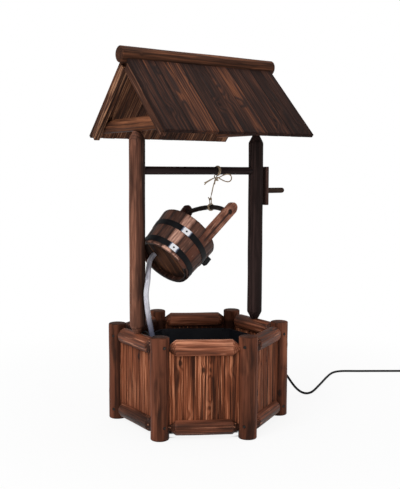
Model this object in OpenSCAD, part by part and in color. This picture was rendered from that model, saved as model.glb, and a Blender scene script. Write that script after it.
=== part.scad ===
// Wishing well fountain: a hexagonal log well with a pitched roof and a tipped bucket fed by a pump.
// Millimetres, +Z up. The origin is on the ground at the middle of the hexagon, the front wall faces -Y.

/* [Well wall] */
// Distance between neighbouring corner posts, axis to axis
side = 260; // [240:1:300]
// Diameter of a corner post
post_d = 56; // [50:1:62]
// Height of a corner post
post_h = 306; // [296:1:340]
// Rounding of a post's upper edge
post_edge = 4; // [2:0.5:6]
// Diameter of a wall rail
rail_d = 48; // [44:1:52]
// Height of the bottom rail's axis
bottom_rail_z = 35; // [30:1:50]
// Height of the top rail's axis
top_rail_z = 272; // [262:1:276]
// Length of the pencil point at each end of a rail
rail_cone_l = 19; // [14:1:26]
// Diameter of the round tenon at the end of a rail
tenon_d = 20; // [16:1:24]
// Length of the tenon inside its post
tenon_l = 10; // [6:1:11]
// Thickness of a wall board
wall_board_t = 12; // [9:0.5:14]
// Depth of the groove in a rail that holds the boards
groove_depth = 8; // [5:0.5:10]
// Number of boards in one wall
wall_boards = 5; // [3:2:7]

/* [Screws] */
// Diameter of a screw's shank
screw_d = 4.5; // [4:0.5:5]
// Length of a screw under its head
screw_l = 68; // [60:1:72]
// Diameter of a screw's head
screw_head_d = 9; // [8:0.5:10]
// Height of a screw above or below its rail's axis
screw_offset = 4.5; // [4:0.5:5]

/* [Tall posts and roof] */
// Diameter of a tall post
mast_d = 47; // [42:1:52]
// Height of the flat on which a tall post stands
mast_foot_z = 294; // [293:0.5:295]
// Length of a tall post between its two end faces
mast_l = 612; // [580:1:660]
// Length of the pencil point at each end of a tall post
mast_cone_l = 25; // [18:1:32]
// Diameter of the end faces of a tall post
mast_tip_d = 23; // [20:1:28]
// Diameter of the round tenons that pin a tall post
mast_tenon_d = 14; // [10:1:16]
// Length of those tenons
mast_tenon_l = 16; // [10:1:18]
// Diameter of the tie beams
tie_d = 42; // [38:1:46]
// Height of the ridge log's axis above the top faces of the tall posts
ridge_rise = 221; // [200:1:240]
// Diameter of the ridge log
ridge_d = 48; // [42:1:54]
// Length of the ridge log past the roof boards at each end
ridge_overhang = 18; // [10:1:30]
// Gap along the ridge between a tie beam and the gable battens
gable_gap = 1.8; // [1:0.2:20]
// Length of the slope from the ridge's axis to the eave
slope_l = 328; // [300:1:350]
// Pitch of the roof
roof_pitch = 45; // [42:0.5:48]
// Thickness of a roof board
roof_board_t = 12; // [9:0.5:16]
// Number of boards in one slope
roof_boards = 12; // [8:1:14]
// Width of a gable batten along the ridge
batten_w = 19; // [14:1:20]
// Depth of a gable batten under the boards
batten_t = 25; // [18:1:30]
// Distance from the eave to the lower ends of the left gable's battens
left_batten_end = 14; // [8:1:30]
// Distance from the eave to the lower ends of the right gable's battens
right_batten_end = 52; // [30:1:70]

/* [Windlass] */
// Height of the crossbar's axis
bar_z = 789; // [770:1:810]
// Diameter of the crossbar
bar_d = 25; // [20:1:27]
// Number of the twine's turns round the crossbar
wraps = 1; // [1:1:6]
// Distance from one of those turns to the next
wrap_pitch = 6.5; // [4.5:0.5:8]
// Distance from the well's middle to the first turn
wrap_s = 67; // [60:1:80]
// Running clearance round the crossbar
bar_gap = 0.1; // [0.05:0.05:0.3]
// Depth of the blind bearing in the left tall post past the post's axis
bar_blind = 14; // [8:1:17]
// Gap between the right tall post and the crank arm
arm_gap = 3; // [1:0.5:6]
// Length of the crank arm
arm_l = 127; // [110:1:150]
// Width of the crank arm
arm_w = 46; // [36:1:54]
// Thickness of the crank arm
arm_t = 12; // [10:0.5:18]
// Distance from the crossbar's axis up to the arm's upper end
arm_top = 14; // [13:0.5:20]
// Diameter of the bar's tenon in the arm
arm_tenon_d = 14; // [10:1:16]
// Distance from the crossbar's axis down to the peg
crank_throw = 65; // [55:1:80]
// Diameter of the crank peg
peg_d = 18; // [13:0.5:19]
// Length of the crank peg outside the arm
peg_l = 82; // [70:1:95]

/* [Bucket] */
// Outer diameter at the bottom end
bucket_bottom_d = 176; // [168:1:180]
// Outer diameter at the mouth
bucket_mouth_d = 199; // [192:1:204]
// Height of the staves
bucket_h = 136; // [125:1:142]
// Thickness of a stave
stave_t = 11; // [9:0.5:13]
// Number of staves round the bucket
staves = 16; // [12:2:18]
// Height of the bottom board's underside above the lower edge of the staves
bottom_recess = 14; // [10:1:20]
// Thickness of the bottom board
bottom_t = 10; // [8:0.5:14]
// Width of a hoop
hoop_w = 20; // [16:1:22]
// Thickness of a hoop
hoop_t = 1.2; // [1:0.1:2]
// Height of the lower hoop's middle
hoop_low_z = 18; // [14:1:24]
// Height of the upper hoop's middle
hoop_high_z = 84; // [78:1:96]
// Height of the bail's holes above the lower edge of the staves
ear_hole_h = 240; // [225:1:245]
// Length of the near ear past the middle of its hole
near_tip = 35; // [26:1:38]
// Length of the far ear past the middle of its hole
far_tip = 26; // [22:1:34]
// Turn of the far ear round the bucket, away from opposite the near one
far_turn = 7; // [0:1:8]
// Width of an ear
ear_w = 38; // [34:1:42]
// Diameter of the bail rod
bail_d = 13; // [11:0.5:14]
// Rise of the bail above the line through its holes
bail_rise = 23; // [18:1:26]
// Elevation of the bucket's axis
bucket_el = 40; // [38:0.5:42]
// Turn of the bucket's axis away from the crossbar
bucket_yaw = 10; // [9:0.5:11]
// Length of the pour spout along the bucket
spout_l = 28; // [24:1:32]
// Width of the pour spout
spout_w = 22; // [20:1:26]
// Height of the pour spout outside the staves
spout_t = 15; // [12:1:18]
// Diameter of the pour spout's bore
spout_bore = 9; // [7:0.5:10]
// Diameter of the twine
twine_d = 3; // [2.5:0.5:4]

/* [Basin and pump] */
// Height of the basin's rim
basin_h = 246; // [236:1:246]
// Distance from the middle to the basin's inner wall at the rim
basin_top = 188; // [184:1:189]
// Distance from the middle to the basin's inner wall at the floor
basin_floor = 172; // [168:1:176]
// Thickness of the basin's wall and floor
basin_t = 3; // [2.5:0.5:3.5]
// Width of the basin's turned-out rim
basin_rim = 6; // [4:0.5:7]
// Depth by which the basin's corners are rounded off
basin_corner = 8; // [4:1:14]
// Outer diameter of the hose
hose_d = 16; // [15:0.5:17]
// Wall of the hose
hose_t = 1.6; // [1.4:0.1:1.8]
// Length of the pump's body
pump_l = 52; // [48:1:60]
// Width of the pump's body
pump_w = 44; // [42:1:52]
// Height of the pump's body
pump_h = 46; // [44:1:52]
// Height of the pump's suction feet
foot_h = 12; // [8:1:16]
// Diameter of the pump's rotor
rotor_d = 21; // [18:0.5:23]
// Diameter of the rotor's shaft
shaft_d = 2.5; // [2:0.1:3]
// Diameter of the pump's own lead
lead_d = 6.5; // [6:0.1:7]
// Diameter of the free cord with its outdoor jacket
cord_d = 8; // [7.4:0.1:8.2]
// Height of the lead's hole in the wall
cord_hole_z = 115; // [100:1:130]

/* [Hidden] */
$fn = 48;

post_r = post_d / 2;
rail_r = rail_d / 2;
tenon_r = tenon_d / 2;
apothem = side * cos(30);
// Clearance of a fixed wooden joint
fit = 0.3;
screw_seat = 3;
screw_gap = 0.25;
screw_pilot_gap = 0.05;

mast_r = mast_d / 2;
mast_s = apothem;
mast_top_z = mast_foot_z + mast_l;
mast_tenon_gap = 0.1;
tie_r = tie_d / 2;
// A tie beam is sawn flat where it sits on its post
tie_flat = 1;
tie_z = mast_top_z + tie_r - tie_flat;
roof_l = 2 * (mast_s + tie_r + gable_gap + batten_w);
ridge_z = mast_top_z + ridge_rise;
ridge_r = ridge_d / 2;

bar_r = bar_d / 2;
arm_in = mast_s + mast_r + arm_gap;
arm_out = arm_in + arm_t;
peg_tenon_d = peg_d - 5;

bucket_slope = (bucket_mouth_d - bucket_bottom_d) / 2 / bucket_h;
ear_y = bucket_r(ear_hole_h) - stave_t / 2;
ear_angle = 360 / staves;
near_ear_at = -90;
far_ear_at = 90 - far_turn;
between = staves / 2 - 1;
// The point midway between the bail's holes: along the crossbar, across it and up
pivot = [42.8, 25.1, 661.1];
stave_gap = 0.5;
hoop_gap = 0.15;
bail_gap = 0.4;
bail_r = bail_d / 2;
bail_reach = ear_y - stave_t / 2 - 5;
bail_middle = ear_y / 2 * [sin(far_turn), cos(far_turn) - 1, 0];
spout_angle = -20;
spout_h = 112;
spout_seat = 0.3;
lap_angle = 20;
lap_at = -127;

hose_r = hose_d / 2;
hose_bore_r = hose_r - hose_t;
barb_gap = 0.35;
barb_r = hose_bore_r * cos(180 / 10) - barb_gap;
pump_s = -112;
pump_z = basin_t + foot_h;
nozzle_z = pump_z + pump_h;
nozzle_l = 24;
rotor_z = pump_z + pump_h / 2;
rotor_gap = 0.6;
shaft_gap = 0.05;
volute_d = 36;
volute_l = 12;
cover_t = 6;
lead_r = lead_d / 2;
cord_r = cord_d / 2;
cord_gap = 0.1;
grommet_r = 9;
grommet_flange_r = 13;
grommet_flange_t = 4;
gland_l = 8;

// Routes are lists of points in the well's own directions: along the crossbar, across it and up
hose_route = [[-112, 0, 64], [-112, 0, 82], [-112, 0, 104], [-115, 0, 128], [-122, 0, 152],
  [-138, -1, 182], [-157, -4, 217], [-172, -10, 252], [-186, -18, 292], [-202, -28, 343], [-210, -32, 378],
  [-213, -31.5, 414], [-209.5, -29.5, 438], [-203, -24, 458], [-193.5, -10, 477], [-182, 6, 495],
  [-168, 22, 512]];
// The rest of the hose's route, in the bucket's own directions, from the bottom board to the spout
bucket_route = [[-18, 40, -238], [-18, 40, -226], [-18, 40, -213], [-16, 37, -197], [-9, 29, -178], [6, 14, -159],
  [27, -2, -144], [45, -12.5, -134], [58, -20.2, -129], [67.5, -24.5, -128], [77, -28, -128]];
lead_route = [[-112, 30.3, 38], [-112, 38, 38], [-112, 58, 40], [-112, 78, 51], [-112, 94, 74],
  [-112, 103, 105], [-112, 108, 142], [-113, 112, 180], [-113, 114, 210], [-113, 115, 235], [-113, 119, 248],
  [-113, 130, 257.5], [-113, 145, 261], [-113, 160, 257.5], [-113, 171, 248], [-113, 175, 235],
  [-112, 174, 208], [-107, 171, 150], [-101, 166, 90], [-97, 163, 55], [-91, 164, 32], [-80, 170, 14],
  [-64, 180, 5], [-44, 191, 4], [-18, 201, 4], [12, 204, 4], [42, 192, 4], [80, 170, 4], [120, 148, 4],
  [152, 129, 4], [174, 112, 4], [186, 93, 5], [191, 71, 9], [191, 50, 21], [188.5, 34, 42], [186, 19, 66],
  [185.6, 9, 86], [188.6, 3.2, 101.3], [193, 1.2, 107], [198.5, 0.3, 111.3], [205, 0, 114.1], [212, 0, 115],
  [216, 0, 115], [219, 0, 115], [228, 0, 115], [238, 0, 115]];
// The free cord's route in the part's own directions
cord_route = [[206.3, 119.1, 115], [222, 128.2, 115], [246, 142, 113.5], [273, 157.5, 107.5], [297, 171.5, 96.5],
  [318, 183, 80.8], [330.5, 189.7, 64], [342, 195, 47.2], [357, 201, 28.5], [372, 206, 14.8], [385, 208.5, 7.8],
  [398, 211.8, 4.5], [410.5, 219, 4.15], [422.5, 233, 4.15], [438, 259.5, 4.15], [458, 299.8, 4.15], [480, 344, 4.15],
  [501, 388, 4.15], [522, 430, 4.15], [543, 469, 4.15], [558, 491, 4.15], [576, 507, 4.15], [598, 514.5, 4.15],
  [624, 515, 4.15], [660, 512, 4.15], [706, 510, 4.15], [765, 507, 4.15], [822, 504, 4.15], [868, 503, 4.15],
  [890, 503, 4.15]];
// The stored end of the cord: two flat layers of turns, spiralling in and out again
coil_turns = 2;
coil_pitch = 8.6;
coil_out = 48;
coil_rise = 8.6;
coil_centre = [908, 551, 4.15];
coil_in = [[890.3, 503, 4.15], [899, 503, 4.15]];
coil_exit = [[915, 502.8, 12.75], [924, 502.2, 12.3], [936, 502, 10.2], [949, 502, 7.5], [961, 502, 5.9],
  [970, 502, 5.6]];
coil_path = concat(coil_in,
  [for (k = [0 : 24 * 2 * coil_turns]) let(a = k / 24, t = 360 * a - 90)
    coil_centre + [coil_radius(a) * cos(t), coil_radius(a) * sin(t), coil_height(a)]],
  coil_exit);
plug_at = [970.2, 502, 5.6];
// The least gap between two turns of the stored cord
coil_self_gap = min([for (i = [0 : len(coil_path) - 9], j = [i + 8 : len(coil_path) - 1])
  norm(coil_path[i] - coil_path[j])]) - cord_d;
echo(coil_self_gap = coil_self_gap);
function run(p) = norm([for (i = [1 : len(p) - 1]) sqrt(norm(p[i] - p[i - 1]))]) ^ 2;
// The free cord's length from the wall to its plug
echo(cord_length = run(smooth(cord_route, 2)) + run(coil_path));

// Radius of the bucket's outside at a height above the lower edge of the staves
function bucket_r(h) = bucket_bottom_d / 2 + bucket_slope * h;
// Radius and height of the stored cord after a turns
function coil_radius(a) = coil_out - coil_pitch * (a <= coil_turns ? a : 2 * coil_turns - a);
function coil_height(a) = coil_rise * min(max(2 * (a - coil_turns) + 0.5, 0), 1);
function turn(v, a) = [v.x * cos(a) - v.y * sin(a), v.x * sin(a) + v.y * cos(a), v.z];
// A point in the bucket's directions, given in the well's directions
function from_bucket(p) = let(t = 90 - bucket_el)
  pivot + turn([p.x * cos(t) + p.z * sin(t), p.y, p.z * cos(t) - p.x * sin(t)], bucket_yaw);
function unit(v) = v / norm(v);
function blend(a, b, c, d, t) =
  0.5 * (2 * b + (c - a) * t + (2 * a - 5 * b + 4 * c - d) * t * t + (3 * b - a - 3 * c + d) * t * t * t);
// A smooth curve through points, with k steps from each to the next
function smooth(p, k) = let(n = len(p)) [
  for (i = [0 : n - 2], j = [0 : k - 1])
    blend(p[max(i - 1, 0)], p[i], p[i + 1], p[min(i + 2, n - 1)], j / k),
  p[n - 1]];
function tangents(p) = let(n = len(p)) [for (i = [0 : n - 1]) unit(p[min(i + 1, n - 1)] - p[max(i - 1, 0)])];
// Side directions carried along a curve without twist
function sides(t) = let(n = len(t), a = abs(t[0].z) < 0.9 ? [0, 0, 1] : [1, 0, 0]) [
  for (i = 0, u = unit(a - (a * t[0]) * t[0]); i < n;
    i = i + 1, u = i < n ? unit(u - (u * t[i]) * t[i]) : u) u];

// A tube of triangles swept along points, with m sides
module sweep(p, r, m) {
  n = len(p);
  t = tangents(p);
  u = sides(t);
  ring = [for (i = [0 : n - 1], j = [0 : m - 1])
    let(a = 360 * j / m) p[i] + r * (cos(a) * u[i] + sin(a) * cross(t[i], u[i]))];
  wall = [for (i = [0 : n - 2], j = [0 : m - 1]) let(a = i * m + j, b = i * m + (j + 1) % m)
    each [[a, a + m, b], [b, a + m, b + m]]];
  caps = [for (j = [1 : m - 2]) each [[0, j, j + 1], [(n - 1) * m, (n - 1) * m + j + 1, (n - 1) * m + j]]];
  polyhedron(concat(ring, [for (f = wall) each []]), concat(wall, caps));
}

// A hollow tube of triangles swept along points, with m sides
module sweep_hollow(p, r, bore, m) {
  n = len(p);
  t = tangents(p);
  u = sides(t);
  ring = [for (q = [r, bore], i = [0 : n - 1], j = [0 : m - 1])
    let(a = 360 * j / m) p[i] + q * (cos(a) * u[i] + sin(a) * cross(t[i], u[i]))];
  wall = [for (i = [0 : n - 2], j = [0 : m - 1]) let(a = i * m + j, b = i * m + (j + 1) % m, c = n * m)
    each [[a, a + m, b], [b, a + m, b + m], [c + a, c + b, c + a + m], [c + b, c + b + m, c + a + m]]];
  rims = [for (j = [0 : m - 1]) let(k = (j + 1) % m, c = n * m, e = c - m)
    each [[j, k, c + j], [k, c + k, c + j], [e + j, c + e + j, e + k], [e + k, c + e + j, c + e + k]]];
  polyhedron(ring, concat(wall, rims));
}

// A cylinder from one point to another
module rod(a, b, r) {
  v = b - a;
  translate(a)
    rotate([0, acos(v.z / norm(v)), atan2(v.y, v.x)])
      cylinder(r = r, h = norm(v));
}

module in_well() {
  rotate([0, 0, 30]) children();
}

module in_bucket() {
  in_well() translate(pivot) rotate([0, 90 - bucket_el, bucket_yaw]) children();
}

// The frame of wall i: +X out of the well, +Y along the wall, at the rails' axes
module on_side(i) {
  rotate([0, 0, 210 + 60 * i]) translate([apothem, 0, 0]) children();
}

module on_corner(i) {
  rotate([0, 0, 180 + 60 * i]) translate([side, 0, 0]) rotate([0, 0, -180 - 60 * i]) children();
}

function screw_side(i) = i % 2 == 0 ? 1 : -1;

module corner_post(n) {
  i = n - 1;
  color("#5a3a2b")
    on_corner(i)
      difference() {
        rotate_extrude()
          polygon([[0, 0], [post_r - 2, 0], [post_r, 2], [post_r, post_h - post_edge],
            [post_r - post_edge * 0.3, post_h - post_edge * 0.3], [post_r - post_edge, post_h], [0, post_h]]);
        for (z = [bottom_rail_z, top_rail_z], end = [0, 1]) {
          level = z + screw_side(i - end) * screw_offset;
          rotate([0, 0, 60 * i + (end == 0 ? 300 : 60)]) {
            translate([post_r - tenon_l - fit, 0, z])
              rotate([0, 90, 0]) cylinder(d = tenon_d + 2 * fit, h = tenon_l + 10);
            translate([-post_r - 1, 0, level])
              rotate([0, 90, 0]) cylinder(d = screw_d + 2 * screw_gap, h = 2 * post_r);
            translate([-post_r - 9, 0, level])
              rotate([0, 90, 0]) cylinder(d = screw_head_d + 1, h = 9 + screw_seat);
          }
        }
      }
}

// A rail along +Z between two corner posts, with pencil-pointed ends and round tenons
module rail_blank() {
  half = side / 2 - post_r;
  rotate_extrude()
    polygon([[0, -half - tenon_l], [tenon_r, -half - tenon_l], [tenon_r, -half], [rail_r, -half + rail_cone_l],
      [rail_r, half - rail_cone_l], [tenon_r, half], [tenon_r, half + tenon_l], [0, half + tenon_l]]);
}

// A rail of wall i: groove is 1 for a groove on top and -1 for one underneath
module rail(i, z, groove) {
  half = side / 2 - post_r;
  pilot = screw_l + tenon_l - 2 * post_r + screw_seat + 1;
  color("#6b4230")
    on_side(i)
      translate([0, 0, z])
        difference() {
          rotate([-90, 0, 0]) rail_blank();
          translate([-wall_board_t / 2 - fit, -half, groove > 0 ? rail_r - groove_depth : -rail_r - 1])
            cube([wall_board_t + 2 * fit, 2 * half, groove_depth + 1]);
          for (end = [-1, 1])
            translate([0, end * (half + tenon_l + 1), screw_side(i) * screw_offset])
              rotate([end * 90, 0, 0])
                cylinder(d = screw_d + 2 * screw_pilot_gap, h = pilot + 1);
        }
}

module top_rail(n) {
  i = n - 1;
  difference() {
    rail(i, top_rail_z, -1);
    if (i % 3 == 0)
      on_side(i) {
        translate([0, 0, mast_foot_z])
          cylinder(d = mast_tip_d + 2, h = rail_d);
        translate([0, 0, mast_foot_z - mast_tenon_l - fit])
          cylinder(d = mast_tenon_d + 2 * mast_tenon_gap, h = rail_d);
      }
  }
}

module bottom_rail(n) {
  rail(n - 1, bottom_rail_z, 1);
}

module wall_panel(n) {
  i = n - 1;
  width = side - post_d - 2 * fit;
  pitch = width / wall_boards;
  low = bottom_rail_z + rail_r - groove_depth + fit;
  high = top_rail_z - rail_r + groove_depth - fit;
  color("#9a6440")
    on_side(i)
      difference() {
        for (k = [0 : wall_boards - 1])
          translate([-wall_board_t / 2, -width / 2 + k * pitch, low])
            linear_extrude(high - low)
              polygon([[0, 0.2], [wall_board_t - 1.5, 0.2], [wall_board_t, 1.7], [wall_board_t, pitch - 1.7],
                [wall_board_t - 1.5, pitch - 0.2], [0, pitch - 0.2]]);
        if (i == 3)
          translate([-wall_board_t, 0, cord_hole_z])
            rotate([0, 90, 0]) cylinder(r = grommet_r + cord_gap, h = 2 * wall_board_t);
      }
}

// A pan-head screw along +Z with its head's seat at the origin
module screw() {
  rotate_extrude($fn = 24)
    polygon([[0, -2.4], [screw_head_d / 2 - 1.2, -2.4], [screw_head_d / 2, -1.2], [screw_head_d / 2, 0],
      [screw_d / 2, 0], [screw_d / 2, screw_l - 5], [0.6, screw_l], [0, screw_l]]);
}

module frame_screws() {
  color("#8d8f92")
    for (i = [0 : 5], z = [bottom_rail_z, top_rail_z], end = [-1, 1])
      on_side(i)
        translate([0, end * (side / 2 + post_r - screw_seat), z + screw_side(i) * screw_offset])
          rotate([end * 90, 0, 0])
            screw();
}

// A hexagonal frustum with its flats low and high from the middle, its corners rounded off by a cone
module basin_form(low, high, h) {
  intersection() {
    cylinder(r1 = low / cos(30), r2 = high / cos(30), h = h, $fn = 6);
    cylinder(r1 = low / cos(30) - basin_corner, r2 = high / cos(30) - basin_corner, h = h, $fn = 96);
  }
}

module basin() {
  slope = (basin_top - basin_floor) / (basin_h - basin_t);
  color("#15171a")
    difference() {
      union() {
        basin_form(basin_floor + basin_t, basin_top + basin_t, basin_h);
        translate([0, 0, basin_h - basin_t])
          basin_form(basin_top + basin_t + basin_rim, basin_top + basin_t + basin_rim, basin_t);
      }
      translate([0, 0, basin_t])
        basin_form(basin_floor, basin_top + slope, basin_h - basin_t + 1);
    }
}

module mast_blank() {
  tip = mast_tip_d / 2;
  pin = mast_tenon_d / 2;
  rotate_extrude()
    polygon([[0, -mast_tenon_l], [pin, -mast_tenon_l], [pin, 0], [tip, 0], [mast_r, mast_cone_l],
      [mast_r, mast_l - mast_cone_l], [tip, mast_l], [pin, mast_l], [pin, mast_l + mast_tenon_l],
      [0, mast_l + mast_tenon_l]]);
}

module well_post_left() {
  color("#6a4332")
    in_well()
      difference() {
        translate([-mast_s, 0, mast_foot_z]) mast_blank();
        translate([-mast_s - bar_blind, 0, bar_z])
          rotate([0, 90, 0]) cylinder(r = bar_r + bar_gap, h = mast_d);
      }
}

module well_post_right() {
  color("#4a3129")
    in_well()
      difference() {
        translate([mast_s, 0, mast_foot_z]) mast_blank();
        translate([mast_s - mast_d, 0, bar_z])
          rotate([0, 90, 0]) cylinder(r = bar_r + bar_gap, h = 2 * mast_d);
      }
}

// The frame of one slope: +X along the ridge, +Y down the slope, +Z out of the roof, at the ridge's axis
module on_slope(back) {
  in_well()
    translate([0, 0, ridge_z])
      rotate([0, 0, back ? 180 : 0])
        rotate([roof_pitch, 0, 0])
          mirror([0, 1, 0])
            children();
}

module tie_beam(end) {
  reach = slope_l;
  color("#7a4a32")
    difference() {
      in_well()
        translate([end * mast_s, -reach, tie_z])
          rotate([-90, 0, 0]) cylinder(r = tie_r, h = 2 * reach);
      for (back = [false, true])
        on_slope(back)
          translate([-roof_l, -slope_l, -roof_board_t / 2 - fit])
            cube([2 * roof_l, 3 * slope_l, 2 * slope_l]);
      in_well() {
        translate([end * mast_s, 0, tie_z - 2 * tie_r])
          cylinder(r = mast_r, h = tie_r + tie_flat);
        translate([end * mast_s, 0, tie_z - tie_r])
          cylinder(d = mast_tenon_d + 2 * mast_tenon_gap, h = mast_tenon_l + tie_flat + fit);
      }
    }
}

module tie_beam_left() {
  tie_beam(-1);
}

module tie_beam_right() {
  tie_beam(1);
}

// The pair of battens under the boards' edges at one gable
module gable_battens(end) {
  top = roof_board_t / 2 + batten_t;
  start = top * tan(90 - roof_pitch) + fit;
  color("#6e4530")
    for (back = [false, true])
      on_slope(back)
        translate([(back ? -end : end) * (roof_l / 2 - batten_w / 2) - batten_w / 2, start, -top])
          cube([batten_w, slope_l - start - (end > 0 ? right_batten_end : left_batten_end), batten_t - fit]);
}

module gable_battens_left() {
  gable_battens(-1);
}

module gable_battens_right() {
  gable_battens(1);
}

module roof_slope(back) {
  pitch = roof_l / roof_boards;
  start = ridge_r + fit;
  t = roof_board_t / 2;
  color("#4c3a33")
    on_slope(back)
      for (k = [0 : roof_boards - 1])
        translate([-roof_l / 2 + k * pitch, slope_l, 0])
          rotate([90, 0, 0])
            linear_extrude(slope_l - start)
              polygon([[0.2, -t], [pitch - 0.2, -t], [pitch - 0.2, t - 2.5], [pitch - 2.2, t],
                [2.2, t], [0.2, t - 2.5]]);
}

module roof_boards_front() {
  roof_slope(false);
}

module roof_boards_back() {
  roof_slope(true);
}

module ridge_log() {
  half = roof_l / 2 + ridge_overhang;
  edge = 4;
  color("#5b3a2c")
    in_well()
      translate([0, 0, ridge_z])
        rotate([0, 90, 0])
          rotate_extrude()
            polygon([[0, -half], [ridge_r - edge, -half], [ridge_r, -half + edge], [ridge_r, half - edge],
              [ridge_r - edge, half], [0, half]]);
}

module crossbar() {
  start = -mast_s - bar_blind + 1;
  color("#1d1917")
    in_well()
      translate([0, 0, bar_z])
        rotate([0, 90, 0]) {
          translate([0, 0, start]) cylinder(r = bar_r, h = arm_in - start);
          translate([0, 0, arm_in]) cylinder(d = arm_tenon_d, h = arm_t);
        }
}

module crank_arm() {
  edge = 3;
  color("#4b3128")
    in_well()
      difference() {
        translate([arm_in, 0, bar_z + arm_top - arm_l])
          rotate([90, 0, 90])
            linear_extrude(arm_t)
              polygon([[-arm_w / 2 + edge, 0], [arm_w / 2 - edge, 0], [arm_w / 2, edge], [arm_w / 2, arm_l - edge],
                [arm_w / 2 - edge, arm_l], [-arm_w / 2 + edge, arm_l], [-arm_w / 2, arm_l - edge],
                [-arm_w / 2, edge]]);
        translate([arm_in - 1, 0, bar_z])
          rotate([0, 90, 0]) cylinder(d = arm_tenon_d + 2 * mast_tenon_gap, h = arm_t + 2);
        translate([arm_in - 1, 0, bar_z - crank_throw])
          rotate([0, 90, 0]) cylinder(d = peg_tenon_d + 2 * mast_tenon_gap, h = arm_t + 2);
      }
}

module crank_peg() {
  r = peg_d / 2;
  color("#7a5036")
    in_well()
      translate([arm_out, 0, bar_z - crank_throw])
        rotate([0, 90, 0])
          rotate_extrude()
            polygon(concat([[0, -arm_t], [peg_tenon_d / 2, -arm_t], [peg_tenon_d / 2, 0], [r, 0]],
              [for (a = [0 : 15 : 75]) [r * cos(a), peg_l - r + r * sin(a)]], [[0, peg_l]]));
}

// The coopered shell between two heights, measured from the lower edge of the staves
module stave_shell(low, high) {
  translate([0, 0, -ear_hole_h])
    rotate_extrude()
      polygon([[bucket_r(low) - stave_t, low], [bucket_r(low), low], [bucket_r(high), high],
        [bucket_r(high) - stave_t, high]]);
}

// The groove that holds the bottom board
module croze() {
  h = bottom_recess;
  translate([0, 0, h - ear_hole_h])
    cylinder(r = bucket_r(h) - stave_t + 3, h = bottom_t + fit);
}

// The wedge of the bucket that a stave fills: its middle's direction, its width in degrees and its top
module stave_wedge(at, wide, top) {
  a = wide / 2;
  near = stave_gap / 2 / sin(a);
  far = bucket_mouth_d;
  rotate([0, 0, at])
    translate([0, 0, -ear_hole_h - 1])
      linear_extrude(top + 1)
        polygon([[near, 0], [far, -(far - near) * tan(a)], [far, (far - near) * tan(a)]]);
}

module spout_hole(r) {
  translate([0, 0, spout_h - ear_hole_h])
    rotate([0, 90, spout_angle])
      cylinder(r = r, h = bucket_mouth_d);
}

module bucket_staves() {
  color("#8a5a41")
    in_bucket()
      for (s = [-1, 1], k = [0 : between - 1]) {
        wide = (180 - s * far_turn - ear_angle) / between;
        difference() {
          intersection() {
            stave_shell(0, bucket_h);
            stave_wedge(near_ear_at + s * (ear_angle / 2 + wide * (k + 0.5)), wide, bucket_h + 1);
          }
          croze();
          spout_hole(barb_r + fit);
        }
      }
}

module bucket_bottom() {
  h = bottom_recess;
  color("#a3714c")
    in_bucket()
      difference() {
        translate([0, 0, h + fit / 2 - ear_hole_h])
          cylinder(r = bucket_r(h) - stave_t + 3 - fit, h = bottom_t);
        translate([bucket_route[1].x, bucket_route[1].y, -ear_hole_h])
          cylinder(r = hose_r + 0.5, h = 2 * (h + bottom_t));
      }
}

// A steel strip round the staves between two heights, from one thickness to another
module strip(low, high, inner, outer, span) {
  translate([0, 0, -ear_hole_h])
    rotate_extrude(angle = span)
      polygon([[bucket_r(low) + inner, low], [bucket_r(low) + outer, low],
        [bucket_r(high) + outer, high], [bucket_r(high) + inner, high]]);
}

// A riveted hoop whose middle is at height h
module hoop(h) {
  low = h - hoop_w / 2;
  high = h + hoop_w / 2;
  outer = hoop_gap + hoop_t;
  color("#26272a")
    in_bucket() {
      strip(low, high, hoop_gap, outer, 360);
      rotate([0, 0, lap_at - lap_angle / 2])
        strip(low + 0.4, high - 0.4, outer - hoop_t / 2, outer + hoop_t, lap_angle);
      for (s = [-1, 1])
        rotate([0, 0, lap_at + s * lap_angle / 4])
          translate([bucket_r(h) + outer + hoop_t / 2, 0, h - ear_hole_h])
            rotate([0, 90, 0])
              cylinder(r1 = 3, r2 = 2, h = hoop_t / 2 + 1.4, $fn = 24);
    }
}

module bucket_hoop_lower() {
  hoop(hoop_low_z);
}

module bucket_hoop_upper() {
  hoop(hoop_high_z);
}

// A stave that runs on past the mouth as an ear, with the bail's hole
module bucket_ear(at, tip) {
  in_bucket()
    difference() {
      intersection() {
        stave_shell(0, ear_hole_h + tip);
        union() {
          stave_wedge(at, ear_angle, bucket_h + 3);
          rotate([0, 0, at])
            rotate([90, 0, 90]) {
              translate([-ear_w / 2, bucket_h - ear_hole_h, 0])
                cube([ear_w, ear_hole_h - bucket_h + tip - ear_w / 2, bucket_mouth_d]);
              translate([0, tip - ear_w / 2, 0])
                cylinder(r = ear_w / 2, h = bucket_mouth_d);
            }
        }
      }
      croze();
      in_bail()
        rotate([90, 0, 0]) cylinder(r = bail_r + bail_gap, h = 2 * bucket_mouth_d, center = true);
    }
}

module bucket_ear_near() {
  color("#b98a6c") bucket_ear(near_ear_at, near_tip);
}

module bucket_ear_far() {
  color("#5d2f2b") bucket_ear(far_ear_at, far_tip);
}

// The bail's frame: the origin midway between the ears' holes, +Y along the line through them
module in_bail() {
  translate(bail_middle) rotate([0, 0, -far_turn / 2]) children();
}

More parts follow.
